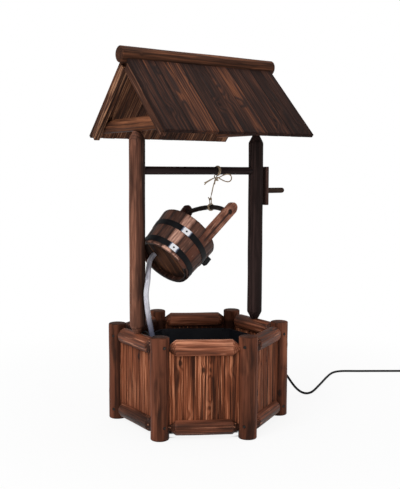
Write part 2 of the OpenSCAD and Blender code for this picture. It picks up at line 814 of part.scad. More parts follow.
// The bail: an arc with a straight pin through each ear
module bail_form() {
  radius = (bail_reach * bail_reach + bail_rise * bail_rise) / 2 / bail_rise;
  half = asin(bail_reach / radius);
  pin = (ear_y + stave_t / 2) * cos(far_turn / 2) - bail_reach;
  rotate([0, -90, 0]) {
    translate([bail_rise - radius, 0, 0])
      rotate([0, 0, -half])
        rotate_extrude(angle = 2 * half)
          translate([radius, 0]) circle(r = bail_r - 0.3, $fn = 32);
    for (s = [-1, 1])
      translate([0, s * bail_reach, 0])
        rotate([-s * 90, 0, 0])
          rotate_extrude()
            polygon(concat([for (a = [-90 : 15 : 0]) bail_r * [cos(a), sin(a)]],
              [[bail_r, pin], [0, pin]]));
  }
}

module bucket_bail() {
  color("#2a2220")
    in_bucket() in_bail() bail_form();
}

// The block on the underside of the bucket that the water falls from, with a barb for the hose inside
module pour_spout() {
  r = bucket_r(spout_h);
  inner = r - stave_t - 14;
  color("#17181a")
    in_bucket()
      rotate([0, 0, spout_angle])
        translate([0, 0, spout_h - ear_hole_h])
          difference() {
            union() {
              translate([r + 1.8, 0, 0])
                rotate([0, 90, 0])
                  linear_extrude(spout_t - 1.8)
                    polygon([[-spout_l / 2 + 3, -spout_w / 2], [spout_l / 2 - 3, -spout_w / 2],
                      [spout_l / 2, -spout_w / 2 + 3], [spout_l / 2, spout_w / 2 - 3],
                      [spout_l / 2 - 3, spout_w / 2], [-spout_l / 2 + 3, spout_w / 2],
                      [-spout_l / 2, spout_w / 2 - 3], [-spout_l / 2, -spout_w / 2 + 3]]);
              translate([inner, 0, 0])
                rotate([0, 90, 0]) cylinder(r = barb_r, h = r + 3 - inner);
            }
            translate([inner - 1, 0, 0])
              rotate([0, 90, 0]) cylinder(d = spout_bore, h = r + spout_t + 10 - inner);
          }
}

// Twine: turns round the crossbar, a line down to the bail and round it, a bow and two wrapped knots
module bail_twine() {
  r = twine_d / 2;
  gap = 0.3;
  ring = bar_r + gap + r;
  eye = bail_r + gap + r;
  apex = from_bucket(bail_middle + [0, 0, bail_rise]);
  knot = [60, 0, bar_z - 27];
  small = apex + [-2, 0, eye + 14];
  along = unit(from_bucket([sin(far_turn / 2), cos(far_turn / 2), 0]) - from_bucket([0, 0, 0]));
  out = unit(cross(along, [0, 0, 1]));
  up = cross(out, along);
  turns = [for (k = [0 : 24 * wraps + 12]) let(a = 15 * k)
    [wrap_s + wrap_pitch * k / 24, -ring * cos(a), bar_z + ring * sin(a)]];
  last = turns[len(turns) - 1];
  round_bail = [for (k = [0 : 36]) let(a = -15 * k)
    apex + eye * (cos(a) * out + sin(a) * up) + (6.8 * k / 36 - 3.4) * along];
  line = concat([knot + [-4, -4, -16], knot + [-1, -3, -6], knot + [2, -4, 6], turns[0] + [-3, 0, -9]], turns,
    [last + [-2, -1, -10], last + [-11, -7, -19], knot + [5, 3, 3], knot + [0, 0, -3], small + [2, 0, 8],
    small + [4, -2, 0], round_bail[0] + [0, 0, 5]], round_bail,
    [round_bail[36] + [0, 0, 5], small + [-3, 2, 2]]);
  bow = [for (k = [0 : 24]) let(a = 7.5 * k - 90) knot + [46 * cos(a), 9 * k / 24 - 15.6, -10 * sin(2 * a)]];
  first = [knot + [-36, -15.6, -12], knot + [-23, -15.6, -8], knot + [-11, -15.6, -4.6]];
  second = [knot + [-9, -6.6, 4], knot + [-17, -6.6, 1], knot + [-21, -6.6, -8]];
  color("#b99a6a")
    in_well() {
      sweep(line, r, 6);
      sweep(concat(first, bow, second), r, 6);
    }
}

module water_hose() {
  route = concat(hose_route, [for (p = bucket_route) from_bucket(p)]);
  color("#c9d2d8")
    in_well()
      sweep_hollow(smooth(route, 2), hose_r, hose_bore_r, 10);
}

module in_pump() {
  in_well() translate([pump_s, 0, 0]) children();
}

module pump_body() {
  l = pump_l / 2;
  w = pump_w / 2;
  edge = 5;
  color("#1b1c1f")
    in_pump()
      difference() {
        union() {
          translate([0, 0, pump_z])
            linear_extrude(pump_h)
              polygon([[-l + edge, -w], [l, -w], [l, w], [-l + edge, w], [-l, w - edge], [-l, -w + edge]]);
          translate([0, 0, nozzle_z - 1]) cylinder(r = hose_r + 2, h = 3.5);
          translate([0, 0, nozzle_z]) cylinder(r = barb_r, h = nozzle_l);
          translate([0, w, 38])
            rotate([-90, 0, 0]) cylinder(r1 = 7, r2 = 5, h = gland_l);
        }
        translate([-l + 8, 0, rotor_z])
          rotate([0, 90, 0]) cylinder(r = rotor_d / 2 + rotor_gap, h = pump_l);
        translate([l - volute_l, 0, rotor_z])
          rotate([0, 90, 0]) cylinder(d = volute_d, h = volute_l + 1);
        translate([-l + 4, 0, rotor_z])
          rotate([0, 90, 0]) cylinder(d = shaft_d + 2 * shaft_gap, h = pump_l);
        translate([0, 0, rotor_z]) cylinder(r = barb_r - 1.6, h = pump_h);
      }
}

module pump_strainer() {
  l = pump_l / 2;
  w = pump_w / 2;
  color("#222428")
    in_pump()
      difference() {
        union() {
          translate([l, -w, pump_z]) cube([cover_t, pump_w, pump_h]);
          translate([l - 4, 0, rotor_z]) rotate([0, 90, 0]) cylinder(r = 3.5, h = 5);
        }
        for (y = [-15, -9, 9, 15])
          translate([l - 1, y - 1.6, rotor_z - 8]) cube([cover_t + 2, 3.2, 16]);
        translate([l - 5, 0, rotor_z])
          rotate([0, 90, 0]) cylinder(d = shaft_d + 2 * shaft_gap, h = 7);
        translate([l + 1, 0, pump_z + 8])
          rotate([0, 90, 0]) cylinder(r = 2 + shaft_gap, h = cover_t);
      }
}

module pump_impeller() {
  l = pump_l / 2;
  color("#3a3c40")
    in_pump()
      translate([0, 0, rotor_z])
        rotate([0, 90, 0]) {
          translate([0, 0, -l + 8 + rotor_gap])
            cylinder(d = rotor_d, h = pump_l - 8 - volute_l - rotor_gap);
          translate([0, 0, -l + 4 + rotor_gap])
            cylinder(d = shaft_d, h = pump_l - 4 - 2 * rotor_gap);
          translate([0, 0, l - volute_l - 1]) cylinder(r = 5, h = 7);
          for (k = [0 : 3])
            rotate([0, 0, 90 * k])
              translate([4, -0.9, l - volute_l + rotor_gap])
                cube([volute_d / 2 - 6, 1.8, 6]);
        }
}

module flow_knob() {
  l = pump_l / 2;
  color("#3f4248")
    in_pump()
      translate([l + cover_t + 0.3, 0, pump_z + 8])
        rotate([0, 90, 0]) {
          difference() {
            cylinder(r = 6.5, h = 3);
            for (k = [0 : 11])
              rotate([0, 0, 30 * k]) translate([6.9, 0, -1]) cylinder(r = 0.8, h = 5, $fn = 16);
          }
          translate([-5.5, -1, 2]) cube([11, 2, 3]);
          translate([0, 0, -4.5]) cylinder(r = 2, h = 5);
        }
}

module pump_feet() {
  color("#101114")
    in_pump()
      for (x = [-1, 1], y = [-1, 1])
        translate([x * (pump_l / 2 - 9), y * (pump_w / 2 - 9), basin_t])
          rotate_extrude($fn = 32)
            polygon([[0, 1.5], [5, 0], [8, 0], [6.5, 2.5], [3.2, 5], [3.2, foot_h - 3], [5, foot_h], [0, foot_h]]);
}

module pump_lead() {
  color("#121315")
    in_well()
      sweep(smooth(lead_route, 2), lead_r, 8);
}

module cord_grommet() {
  in_s = apothem - wall_board_t / 2;
  out_s = apothem + wall_board_t / 2;
  color("#191a1c")
    in_well()
      translate([0, 0, cord_hole_z])
        rotate([0, 90, 0])
          difference() {
            union() {
              translate([0, 0, in_s - grommet_flange_t]) cylinder(r = grommet_flange_r, h = grommet_flange_t - 0.2);
              translate([0, 0, in_s - 1]) cylinder(r = grommet_r, h = wall_board_t + 2);
              translate([0, 0, out_s + 0.2]) cylinder(r = grommet_flange_r, h = grommet_flange_t);
            }
            cylinder(r = lead_r + cord_gap, h = 2 * apothem);
          }
}

module power_cord() {
  color("#0f1012")
    sweep(smooth(cord_route, 2), cord_r, 8);
}

module cord_coil() {
  color("#0f1012")
    sweep(coil_path, cord_r, 6);
}

// A moulded two-pin plug that lies at the end of the cord
module mains_plug() {
  color("#141518")
    translate(plug_at) {
      rotate([0, 90, 0])
        rotate_extrude()
          polygon([[0, 0], [cord_r + 1, 0], [cord_r + 1.5, 24], [0, 24]]);
      translate([23, 0, -plug_at.z])
        linear_extrude(16)
          polygon([[0, -7], [12, -13], [30, -13], [33, -10], [33, 10], [30, 13], [12, 13], [0, 7]]);
      for (y = [-9.3, 9.3])
        translate([55, y, 8 - plug_at.z])
          rotate([0, 90, 0]) cylinder(r = 2, h = 20, $fn = 24);
    }
}

corner_post(1);  // corner_post_1
corner_post(2);  // corner_post_2
corner_post(3);  // corner_post_3
corner_post(4);  // corner_post_4
corner_post(5);  // corner_post_5
corner_post(6);  // corner_post_6
top_rail(1);  // top_rail_1
top_rail(2);  // top_rail_2
top_rail(3);  // top_rail_3
top_rail(4);  // top_rail_4
top_rail(5);  // top_rail_5
top_rail(6);  // top_rail_6
bottom_rail(1);  // bottom_rail_1
bottom_rail(2);  // bottom_rail_2
bottom_rail(3);  // bottom_rail_3
bottom_rail(4);  // bottom_rail_4
bottom_rail(5);  // bottom_rail_5
bottom_rail(6);  // bottom_rail_6
wall_panel(1);  // wall_panel_1
wall_panel(2);  // wall_panel_2
wall_panel(3);  // wall_panel_3
wall_panel(4);  // wall_panel_4
wall_panel(5);  // wall_panel_5
wall_panel(6);  // wall_panel_6
frame_screws();
basin();
well_post_left();
well_post_right();
tie_beam_left();
tie_beam_right();
gable_battens_left();
gable_battens_right();
roof_boards_front();
roof_boards_back();
ridge_log();
crossbar();
crank_arm();
crank_peg();
bucket_staves();
bucket_bottom();
bucket_hoop_lower();
bucket_hoop_upper();
bucket_ear_near();
bucket_ear_far();
bucket_bail();
pour_spout();
bail_twine();
water_hose();
pump_body();
pump_strainer();
pump_impeller();
flow_knob();
pump_feet();
pump_lead();
cord_grommet();
power_cord();
cord_coil();
mains_plug();
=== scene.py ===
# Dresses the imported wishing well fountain: burnt logs and boards, a coopered bucket, twine, hose and cord.
# Shapes are worked out in millimetres in their own directions and put into the mesh in metres.
import math
import bpy
import numpy as np
from mathutils import Matrix, Vector


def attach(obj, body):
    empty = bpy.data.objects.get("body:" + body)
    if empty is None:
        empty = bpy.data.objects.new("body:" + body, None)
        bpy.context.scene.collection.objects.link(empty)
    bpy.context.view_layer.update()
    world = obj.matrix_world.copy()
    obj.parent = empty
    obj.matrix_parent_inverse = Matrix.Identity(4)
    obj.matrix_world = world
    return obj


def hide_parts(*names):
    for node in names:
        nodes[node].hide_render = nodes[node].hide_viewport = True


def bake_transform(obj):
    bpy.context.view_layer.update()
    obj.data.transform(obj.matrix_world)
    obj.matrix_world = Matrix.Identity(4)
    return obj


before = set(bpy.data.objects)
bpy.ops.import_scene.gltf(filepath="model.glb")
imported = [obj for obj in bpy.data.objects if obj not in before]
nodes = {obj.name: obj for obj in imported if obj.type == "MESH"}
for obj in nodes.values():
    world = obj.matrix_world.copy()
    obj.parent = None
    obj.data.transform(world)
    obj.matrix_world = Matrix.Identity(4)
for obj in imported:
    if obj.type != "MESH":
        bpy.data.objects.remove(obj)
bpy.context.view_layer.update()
print("frame loaded,", len(nodes), "nodes")


def linked(name, data):
    made = bpy.data.objects.new(name, data)
    bpy.context.scene.collection.objects.link(made)
    return made


# The camera stands where the photograph was taken from
shot = {"place": (-0.17265, -2.49172, 0.78552), "yaw": 4.025, "pitch": 5.267, "roll": 0.164, "lens": 58.07,
        "sensor": 36}


def aimCamera():
    yaw, pitch, roll = (math.radians(shot[k]) for k in ("yaw", "pitch", "roll"))
    ahead = Vector((math.sin(yaw) * math.cos(pitch), math.cos(yaw) * math.cos(pitch), -math.sin(pitch)))
    level = Vector((math.cos(yaw), -math.sin(yaw), 0))
    up = level.cross(ahead)
    right = math.cos(roll) * level + math.sin(roll) * up
    top = math.cos(roll) * up - math.sin(roll) * level
    data = bpy.data.cameras.new("shot")
    data.sensor_fit, data.sensor_height, data.lens = "VERTICAL", shot["sensor"], shot["lens"]
    eye = linked("shot", data)
    eye.matrix_world = Matrix([[right[i], top[i], -ahead[i], shot["place"][i]] for i in range(3)] + [[0, 0, 0, 1]])
    bpy.context.scene.camera = eye


aimCamera()

# Main sizes and places of the well, in millimetres, as the frame has them
well = {"side": 260, "postR": 28, "postH": 306, "railR": 24, "railZ": (35, 272), "railCone": 19, "tenonR": 10,
        "tenonL": 5, "groove": 8, "boardT": 12, "boards": 5, "mastR": 23.5, "mastZ": 294, "mastL": 612,
        "mastCone": 25, "mastTip": 11.5, "tieR": 21, "tieZ": 926, "tieDrop": 8.95, "ridgeZ": 1127, "ridgeR": 24,
        "ridgePast": 18, "roofL": 533.94, "roofTurn": 45, "slopeL": 328, "roofT": 12, "roofBoards": 12,
        "battenW": 19, "battenT": 25, "battenEnd": {"left": 14, "right": 52}, "barZ": 789, "barR": 12.5, "fit": 0.3}
apothem = well["side"] * math.cos(math.radians(30))


def turn(angle, axis):
    return np.array(Matrix.Rotation(math.radians(angle), 4, axis))


def shift(x, y, z):
    return np.array(Matrix.Translation((x, y, z)))


def carry(matrix, points):
    return np.asarray(points, float) @ matrix[:3, :3].T + matrix[:3, 3]


# Points at a distance from the z axis, an angle round it and a height
def polar(r, a, z):
    return np.stack([r * np.cos(a), r * np.sin(a), z], -1)


def circle(count):
    return np.linspace(0, 2 * np.pi, count, endpoint=False)


def onSide(i):
    return turn(210 + 60 * i, "Z") @ shift(apothem, 0, 0)


def onCorner(i):
    return turn(180 + 60 * i, "Z") @ shift(well["side"], 0, 0) @ turn(-180 - 60 * i, "Z")


def onSlope(back):
    flip = np.diag([1.0, -1.0, 1.0, 1.0])
    return inWell @ shift(0, 0, well["ridgeZ"]) @ turn(180 * back, "Z") @ turn(well["roofTurn"], "X") @ flip


inWell = turn(30, "Z")
tipped = {"hole": (42.8, 25.1, 661.1), "aside": 10, "over": 50}
inBucket = inWell @ shift(*tipped["hole"]) @ turn(tipped["aside"], "Z") @ turn(tipped["over"], "Y")
alongX = turn(90, "Y")
# a board's thickness along x, width along y and length along z, laid on a slope
asRoofBoard = np.array([[0, 1, 0, 0], [0, 0, 1, 0], [1, 0, 0, 0], [0, 0, 0, 1.0]])


# A smooth curve through points: between two of them it is the Catmull-Rom cubic of the four nearest, k steps each.
def smoothLine(points, k):
    p = np.asarray(points, float)
    ends = np.concatenate([p[:1], p, p[-1:]])
    a, b, c, d = (ends[i:len(ends) - 3 + i, None] for i in range(4))
    t = (np.arange(k) / k)[None, :, None]
    line = 0.5 * (2 * b + (c - a) * t + (2 * a - 5 * b + 4 * c - d) * t ** 2 + (3 * b - a - 3 * c + d) * t ** 3)
    return np.concatenate([line.reshape(-1, 3), p[-1:]])


# Distance along a line up to each of its points
def runOf(line):
    return np.concatenate([[0], np.cumsum(np.linalg.norm(np.diff(line, axis=0), axis=1))])


# Two directions across a line at each point, carried along it without twist
def across(line):
    ahead = np.gradient(line, axis=0)
    ahead /= np.linalg.norm(ahead, axis=1)[:, None]
    u = np.cross(ahead[0], (0, 0, 1) if abs(ahead[0][2]) < 0.9 else (1, 0, 0))
    firsts = []
    for t in ahead:
        u = u - (u @ t) * t
        u = u / np.linalg.norm(u)
        firsts.append(u)
    firsts = np.array(firsts)
    return firsts, np.cross(ahead, firsts)


# A round tube: the line's point plus radius times (cos a of one cross direction plus sin a of the other).
def tubeGrid(line, radius, sides=16, tone=0.0):
    u, v = across(line)
    a = circle(sides)
    r = np.broadcast_to(np.asarray(radius, float), len(line))[:, None, None]
    points = line[:, None] + r * (np.cos(a)[None, :, None] * u[:, None] + np.sin(a)[None, :, None] * v[:, None])
    grain = polar(r[:, :, 0], a, runOf(line)[:, None] + 0 * a)
    return {"points": points, "grain": grain * 0.001, "tone": np.full(points.shape[:2], tone)}


# Puts grids of points into one mesh: rows of points, each row a closed loop, joined by quads, the first and last row
# closed by a fan to their mean. A grid marked ring joins its last row to its first. Each grid is turned outwards by
# the sign of its volume. A point's row in the table is its place, grain and tone.
def gridMesh(name, grids, angle):
    tables, faces, start = [], [], 0
    for grid in grids:
        places = carry(grid.get("place", np.eye(4)), grid["points"])
        p = np.concatenate([places, grid["grain"], grid["tone"][..., None]], -1)
        n, m = p.shape[:2]
        rows = np.arange(n if grid.get("ring") else n - 1)[:, None]
        k = np.arange(m)
        nextK, nextRow = (k + 1) % m, (rows + 1) % n
        quads = np.stack([rows * m + k, rows * m + nextK, nextRow * m + nextK, nextRow * m + k], -1).reshape(-1, 4)
        table, fans = p.reshape(-1, 7), np.zeros((0, 3), int)
        if not grid.get("ring"):
            table = np.concatenate([table, p[:1].mean(1), p[-1:].mean(1)])
            low, high = np.full(m, n * m), np.full(m, n * m + 1)
            fans = np.concatenate([np.stack([low, nextK, k], -1),
                                   np.stack([high, (n - 1) * m + k, (n - 1) * m + nextK], -1)])
        thirds = np.concatenate([quads[:, :3], quads[:, [0, 2, 3]], fans])
        a, b, c = (table[thirds[:, i], :3] - table[:, :3].mean(0) for i in range(3))
        if np.einsum("ij,ij->i", a, np.cross(b, c)).sum() < 0:
            quads, fans = quads[:, ::-1], fans[:, ::-1]
        faces += (quads + start).tolist() + (fans + start).tolist()
        tables.append(table)
        start += len(table)
    table = np.concatenate(tables)
    mesh = bpy.data.meshes.new(name)
    mesh.from_pydata(table[:, :3] * 0.001, [], faces)
    mesh.attributes.new("grain", "FLOAT_VECTOR", "POINT").data.foreach_set("vector", table[:, 3:6].ravel())
    mesh.attributes.new("tone", "FLOAT", "POINT").data.foreach_set("value", table[:, 6].ravel())
    mesh.shade_smooth()
    mesh.set_sharp_from_angle(angle=math.radians(angle))
    return mesh


# One finished piece of the well on its body, in place of the CAD nodes that it stands for
def addPiece(name, grids, body, look, slot, *stands, angle=40, rides=True):
    piece = linked(name, gridMesh(name, [grids] if isinstance(grids, dict) else grids, angle))
    piece.data.materials.append(look)
    if rides:
        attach(piece, body)
    if stands:
        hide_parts(*stands)
    return piece


# Slow unevenness of hand-peeled wood: the mean of six sines that run round by whole numbers and along at random rates
def unevenness(a, z, rng):
    k = rng.integers(1, 5, 6)[:, None, None]
    rate = rng.uniform(-0.035, 0.035, 6)[:, None, None]
    return np.sin(k * a + rate * z + rng.uniform(0, 6.28, 6)[:, None, None]).mean(0) * 1.8


# A log along z. Its radius at angle a and height z is the profile's radius, plus the slow unevenness, less drying
# checks (narrow bells in angle, faded at their ends), plus low bells where branches were cut off, less sunk holes.
# The columns turn a little as they go up, so that the checks wander.
def logGrid(profile, seed, uneven=0.6, checks=2, knots=2, around=52, step=9, holes=(), tone=0.0, endTone=-0.18,
            ends=3.0, drift=0.06):
    rng = np.random.default_rng(seed)
    keys = np.array(profile, float)
    top = keys[:, 1].max()
    low, high = keys[0, 0], keys[-1, 0]
    cracks = [rng.uniform((0, low, 0.12, 0.7), (6.28, high, 0.3, 1.6)) * (1, 1, high - low, 1) for _ in range(checks)]
    near = np.arange(-7, 7.1, 1.0)
    z = [keys[:, 0], np.arange(low, high, step)] + [h[1] + near for h in holes]
    a = [circle(around)] + [h[0] + near / top for h in holes]
    a += [c[0] + np.array([-2.6, -1.3, -0.6, 0, 0.6, 1.3, 2.6]) / top for c in cracks]
    z = np.unique(np.round(np.concatenate(z), 3))
    z = z[(z >= low) & (z <= high)]
    a = np.unique(np.round(np.concatenate(a) % (2 * np.pi), 4))
    a, z = a[None, :], z[:, None]

    def aside(at):
        return np.angle(np.exp(1j * (a - at))) * top

    r = np.interp(z, keys[:, 0], keys[:, 1])
    whole = np.clip((r / top - 0.75) / 0.25, 0, 1)
    bend = uneven * unevenness(a, z, rng)
    for at, middle, reach, depth in cracks:
        bend = bend - depth * np.exp(-(aside(at) / 0.9) ** 2) * np.exp(-((z - middle) / reach) ** 4)
    for _ in range(knots):
        at, middle, lift = rng.uniform((0, low, 0.5), (6.28, high, 1.3))
        bend = bend + lift * np.exp(-(aside(at) ** 2 + (z - middle) ** 2) / 70)
    r = r + whole * bend
    for at, middle, depth, reach in holes:
        r = r - depth / (1 + np.exp(-(reach - np.hypot(aside(at), z - middle)) / 0.22))
    lean = a + (drift * np.sin(z / 85 + rng.uniform(0, 6)) if not holes else 0)
    points = polar(r, lean, z + 0 * lean)
    away = rng.uniform((-9, -9, 0), (9, 9, 9000))
    tones = tone + rng.uniform(-0.05, 0.05) + 0 * r
    tones = tones + endTone * (1 - np.clip(np.minimum(z - low, high - z) / ends, 0, 1))
    return {"points": points, "grain": (points + away) * 0.001, "tone": tones}


# A log's whole profile from that of its lower end, mirrored about half its length
def bothEnds(ends, long=0):
    return ends + [(long - z, r) for z, r in reversed(ends)]


# The outline of a board: a rectangle with rounded corners, thickness along x and width along y
def boardLoop(thick, wide, edge, steps=4):
    turns = np.linspace(0, np.pi / 2, 4)
    arc = edge * np.stack([np.cos(turns), np.sin(turns)], -1)
    x, y = thick / 2 - edge, wide / 2 - edge
    span = np.concatenate([[-y + 0.5, -y + 2.5], np.linspace(-y + 5, y - 5, steps), [y - 2.5, y - 0.5]])
    corner = [np.array([x, y]) + arc, np.array([-x, y]) + arc @ [[0, 1], [-1, 0]],
              np.array([-x, -y]) - arc, np.array([x, -y]) + arc @ [[0, -1], [1, 0]]]
    faces = [np.stack([0 * span - thick / 2, span[::-1]], -1), np.stack([0 * span + thick / 2, span], -1)]
    return np.concatenate([corner[0], corner[1], faces[0], corner[2], corner[3], faces[1]])


# Heights along a board, close together at its ends, and how far the rounded arris draws in the outline at each
def arrised(long, steps, depths, count):
    z = np.concatenate([steps, np.linspace(6, long - 6, count), long - np.array(steps[::-1])])
    return z, np.interp(np.minimum(z, long - z), steps, depths)[:, None]


# A board along z from 0 to its length: the outline carried along, its wide faces raised and sunk by slow waves across
# and along, its ends drawn in by the arris.
def boardGrid(thick, wide, long, seed, edge=1.5, step=16, wave=0.25, tone=0.0, depth=45, spread=0.05, endReach=9.0):
    rng = np.random.default_rng(seed)
    loop = boardLoop(thick, wide, edge)
    z, draw = arrised(long, [0, 0.7, 2], [1.2, 0.35, 0], max(3, int(long / step)))
    x = loop[None, :, 0] * (1 - draw / (thick / 2))
    y = loop[None, :, 1] * (1 - draw / (wide / 2))
    rate = rng.uniform(-0.05, 0.05, (2, 5))
    waves = np.sin(rate[0] * z[:, None, None] + 3 * rate[1] * y[:, :, None] + rng.uniform(0, 6.28, 5)).mean(-1)
    x = x + wave * waves * np.sign(x) * (np.abs(x) > thick / 2 - 0.3)
    points = np.stack([x, y, z[:, None] + 0 * x], -1)
    away = rng.uniform((0.35, -0.7, 0), (1.2, 0.7, 9000)) * (depth, depth, 1)
    tones = tone + rng.uniform(-spread, spread) + 0 * x
    # darker towards both ends
    tones = tones - 0.12 * np.exp(-np.minimum(z, long - z) / endReach)[:, None]
    tones = tones - 0.2 * np.exp(-(wide / 2 - np.abs(y)) / 1.6)
    return {"points": points, "grain": (points + away) * 0.001, "tone": tones}


def placed(grid, matrix):
    grid["place"] = matrix
    return grid


# The shader nodes of one tree. Inputs are values or other nodes' sockets, and each method gives its node's output.
class Nodes:
    def __init__(self, tree):
        self.tree = tree

    def feed(self, made, inputs):
        for key, value in inputs.items():
            if isinstance(value, bpy.types.NodeSocket):
                self.tree.links.new(value, made.inputs[key])
            else:
                made.inputs[key].default_value = value

    def add(self, kind, inputs=(), **settings):
        made = self.tree.nodes.new("ShaderNode" + kind)
        for key, value in settings.items():
            setattr(made, key, value)
        self.feed(made, dict(inputs))
        return made.outputs

    def calc(self, operation, *values, clamp=False):
        return self.add("Math", enumerate(values), operation=operation, use_clamp=clamp)[0]

    # two values multiplied, and a third one added
    def times(self, *values):
        return self.calc("MULTIPLY_ADD" if len(values) > 2 else "MULTIPLY", *values)

    def vector(self, operation, *values):
        number = operation in ("LENGTH", "DOT_PRODUCT")
        return self.add("VectorMath", enumerate(values), operation=operation)["Value" if number else "Vector"]

    def stretch(self, place, sizes):
        return self.vector("MULTIPLY", place, sizes)

    def reach(self, place, sizes):
        return self.vector("LENGTH", self.stretch(place, sizes))

    def fade(self, value, low, high, first=0.0, last=1.0):
        ends = {"Value": value, "From Min": low, "From Max": high, "To Min": first, "To Max": last}
        return self.add("MapRange", ends, interpolation_type="SMOOTHSTEP")[0]

    def noise(self, place, sizes, detail=2.0, rough=0.5, give="Fac"):
        spot = self.stretch(place, sizes)
        return self.add("TexNoise", {"Vector": spot, "Scale": 1.0, "Detail": detail, "Roughness": rough})[give]

    def mix(self, factor, first, second, blend="MIX"):
        return self.add("Mix", {0: factor, 6: first, 7: second}, data_type="RGBA", blend_type=blend)[2]

    def ramp(self, value, *stops):
        made = self.add("ValToRGB", {"Fac": value})["Color"]
        band = made.node.color_ramp.elements
        while len(band) < len(stops):
            band.new(0.5)
        for spot, (at, colour) in zip(band, stops):
            spot.position, spot.color = at, shade(*colour)
        return made

    def bump(self, strength, distance, height):
        return self.add("Bump", {"Strength": strength, "Distance": distance, "Height": height})["Normal"]

    def paint(self, colour, rough, normal, **inputs):
        self.feed(self.tree.nodes["Principled BSDF"], {"Base Color": colour, "Roughness": rough, "Normal": normal,
                                                       **inputs})


# A colour given as it looks on screen, 0 to 255, made linear
def shade(red, green, blue):
    value = np.array([red, green, blue]) / 255
    return (*np.where(value <= 0.04045, value / 12.92, ((value + 0.055) / 1.055) ** 2.4), 1.0)


def newLook(name):
    look = bpy.data.materials.new(name)
    look.use_nodes = True
    return look, Nodes(look.node_tree)


# Where the wood's own directions come from: the piece's stored grain, or for a CAD node its place turned into them
def grainPlace(m, frameMatrix=None):
    if frameMatrix is None:
        return m.add("Attribute", attribute_name="grain")["Vector"], m.add("Attribute", attribute_name="tone")["Fac"]
    back = Matrix(np.linalg.inv(frameMatrix).tolist())
    return m.add("Mapping", {"Vector": m.add("TexCoord")["Object"], "Location": back.translation * 0.001,
                             "Rotation": back.to_euler()})["Vector"], 0.0


# Burnt and brushed fir. Growth rings are a sine of the distance from a wandering pith, bent round knots; fine fibres,
# slow blotches and long char streaks lie over them, and the soft wood between the rings is sunk.
woodBase = {"char": (33, 20, 15), "pitch": 0.0042, "wander": 0.014, "ring": 0.3, "fibre": 0.8, "coarse": 1.5,
            "blotch": 0.9, "streak": 0.75, "streakAt": 0.54, "streakSize": (95, 95, 3.2), "streakEdge": 0.12,
            "pale": 0.55, "paleAt": 0.6, "knot": (12, 12, 5), "rough": 0.7, "shine": 0.08, "bump": 0.6,
            "bend": 1.0, "bendOver": 0.018, "check": None, "lean": 0.0, "sooted": None}
burntZones = {"streakSize": (30, 30, 7), "streakEdge": 0.22, "streakAt": 0.47}


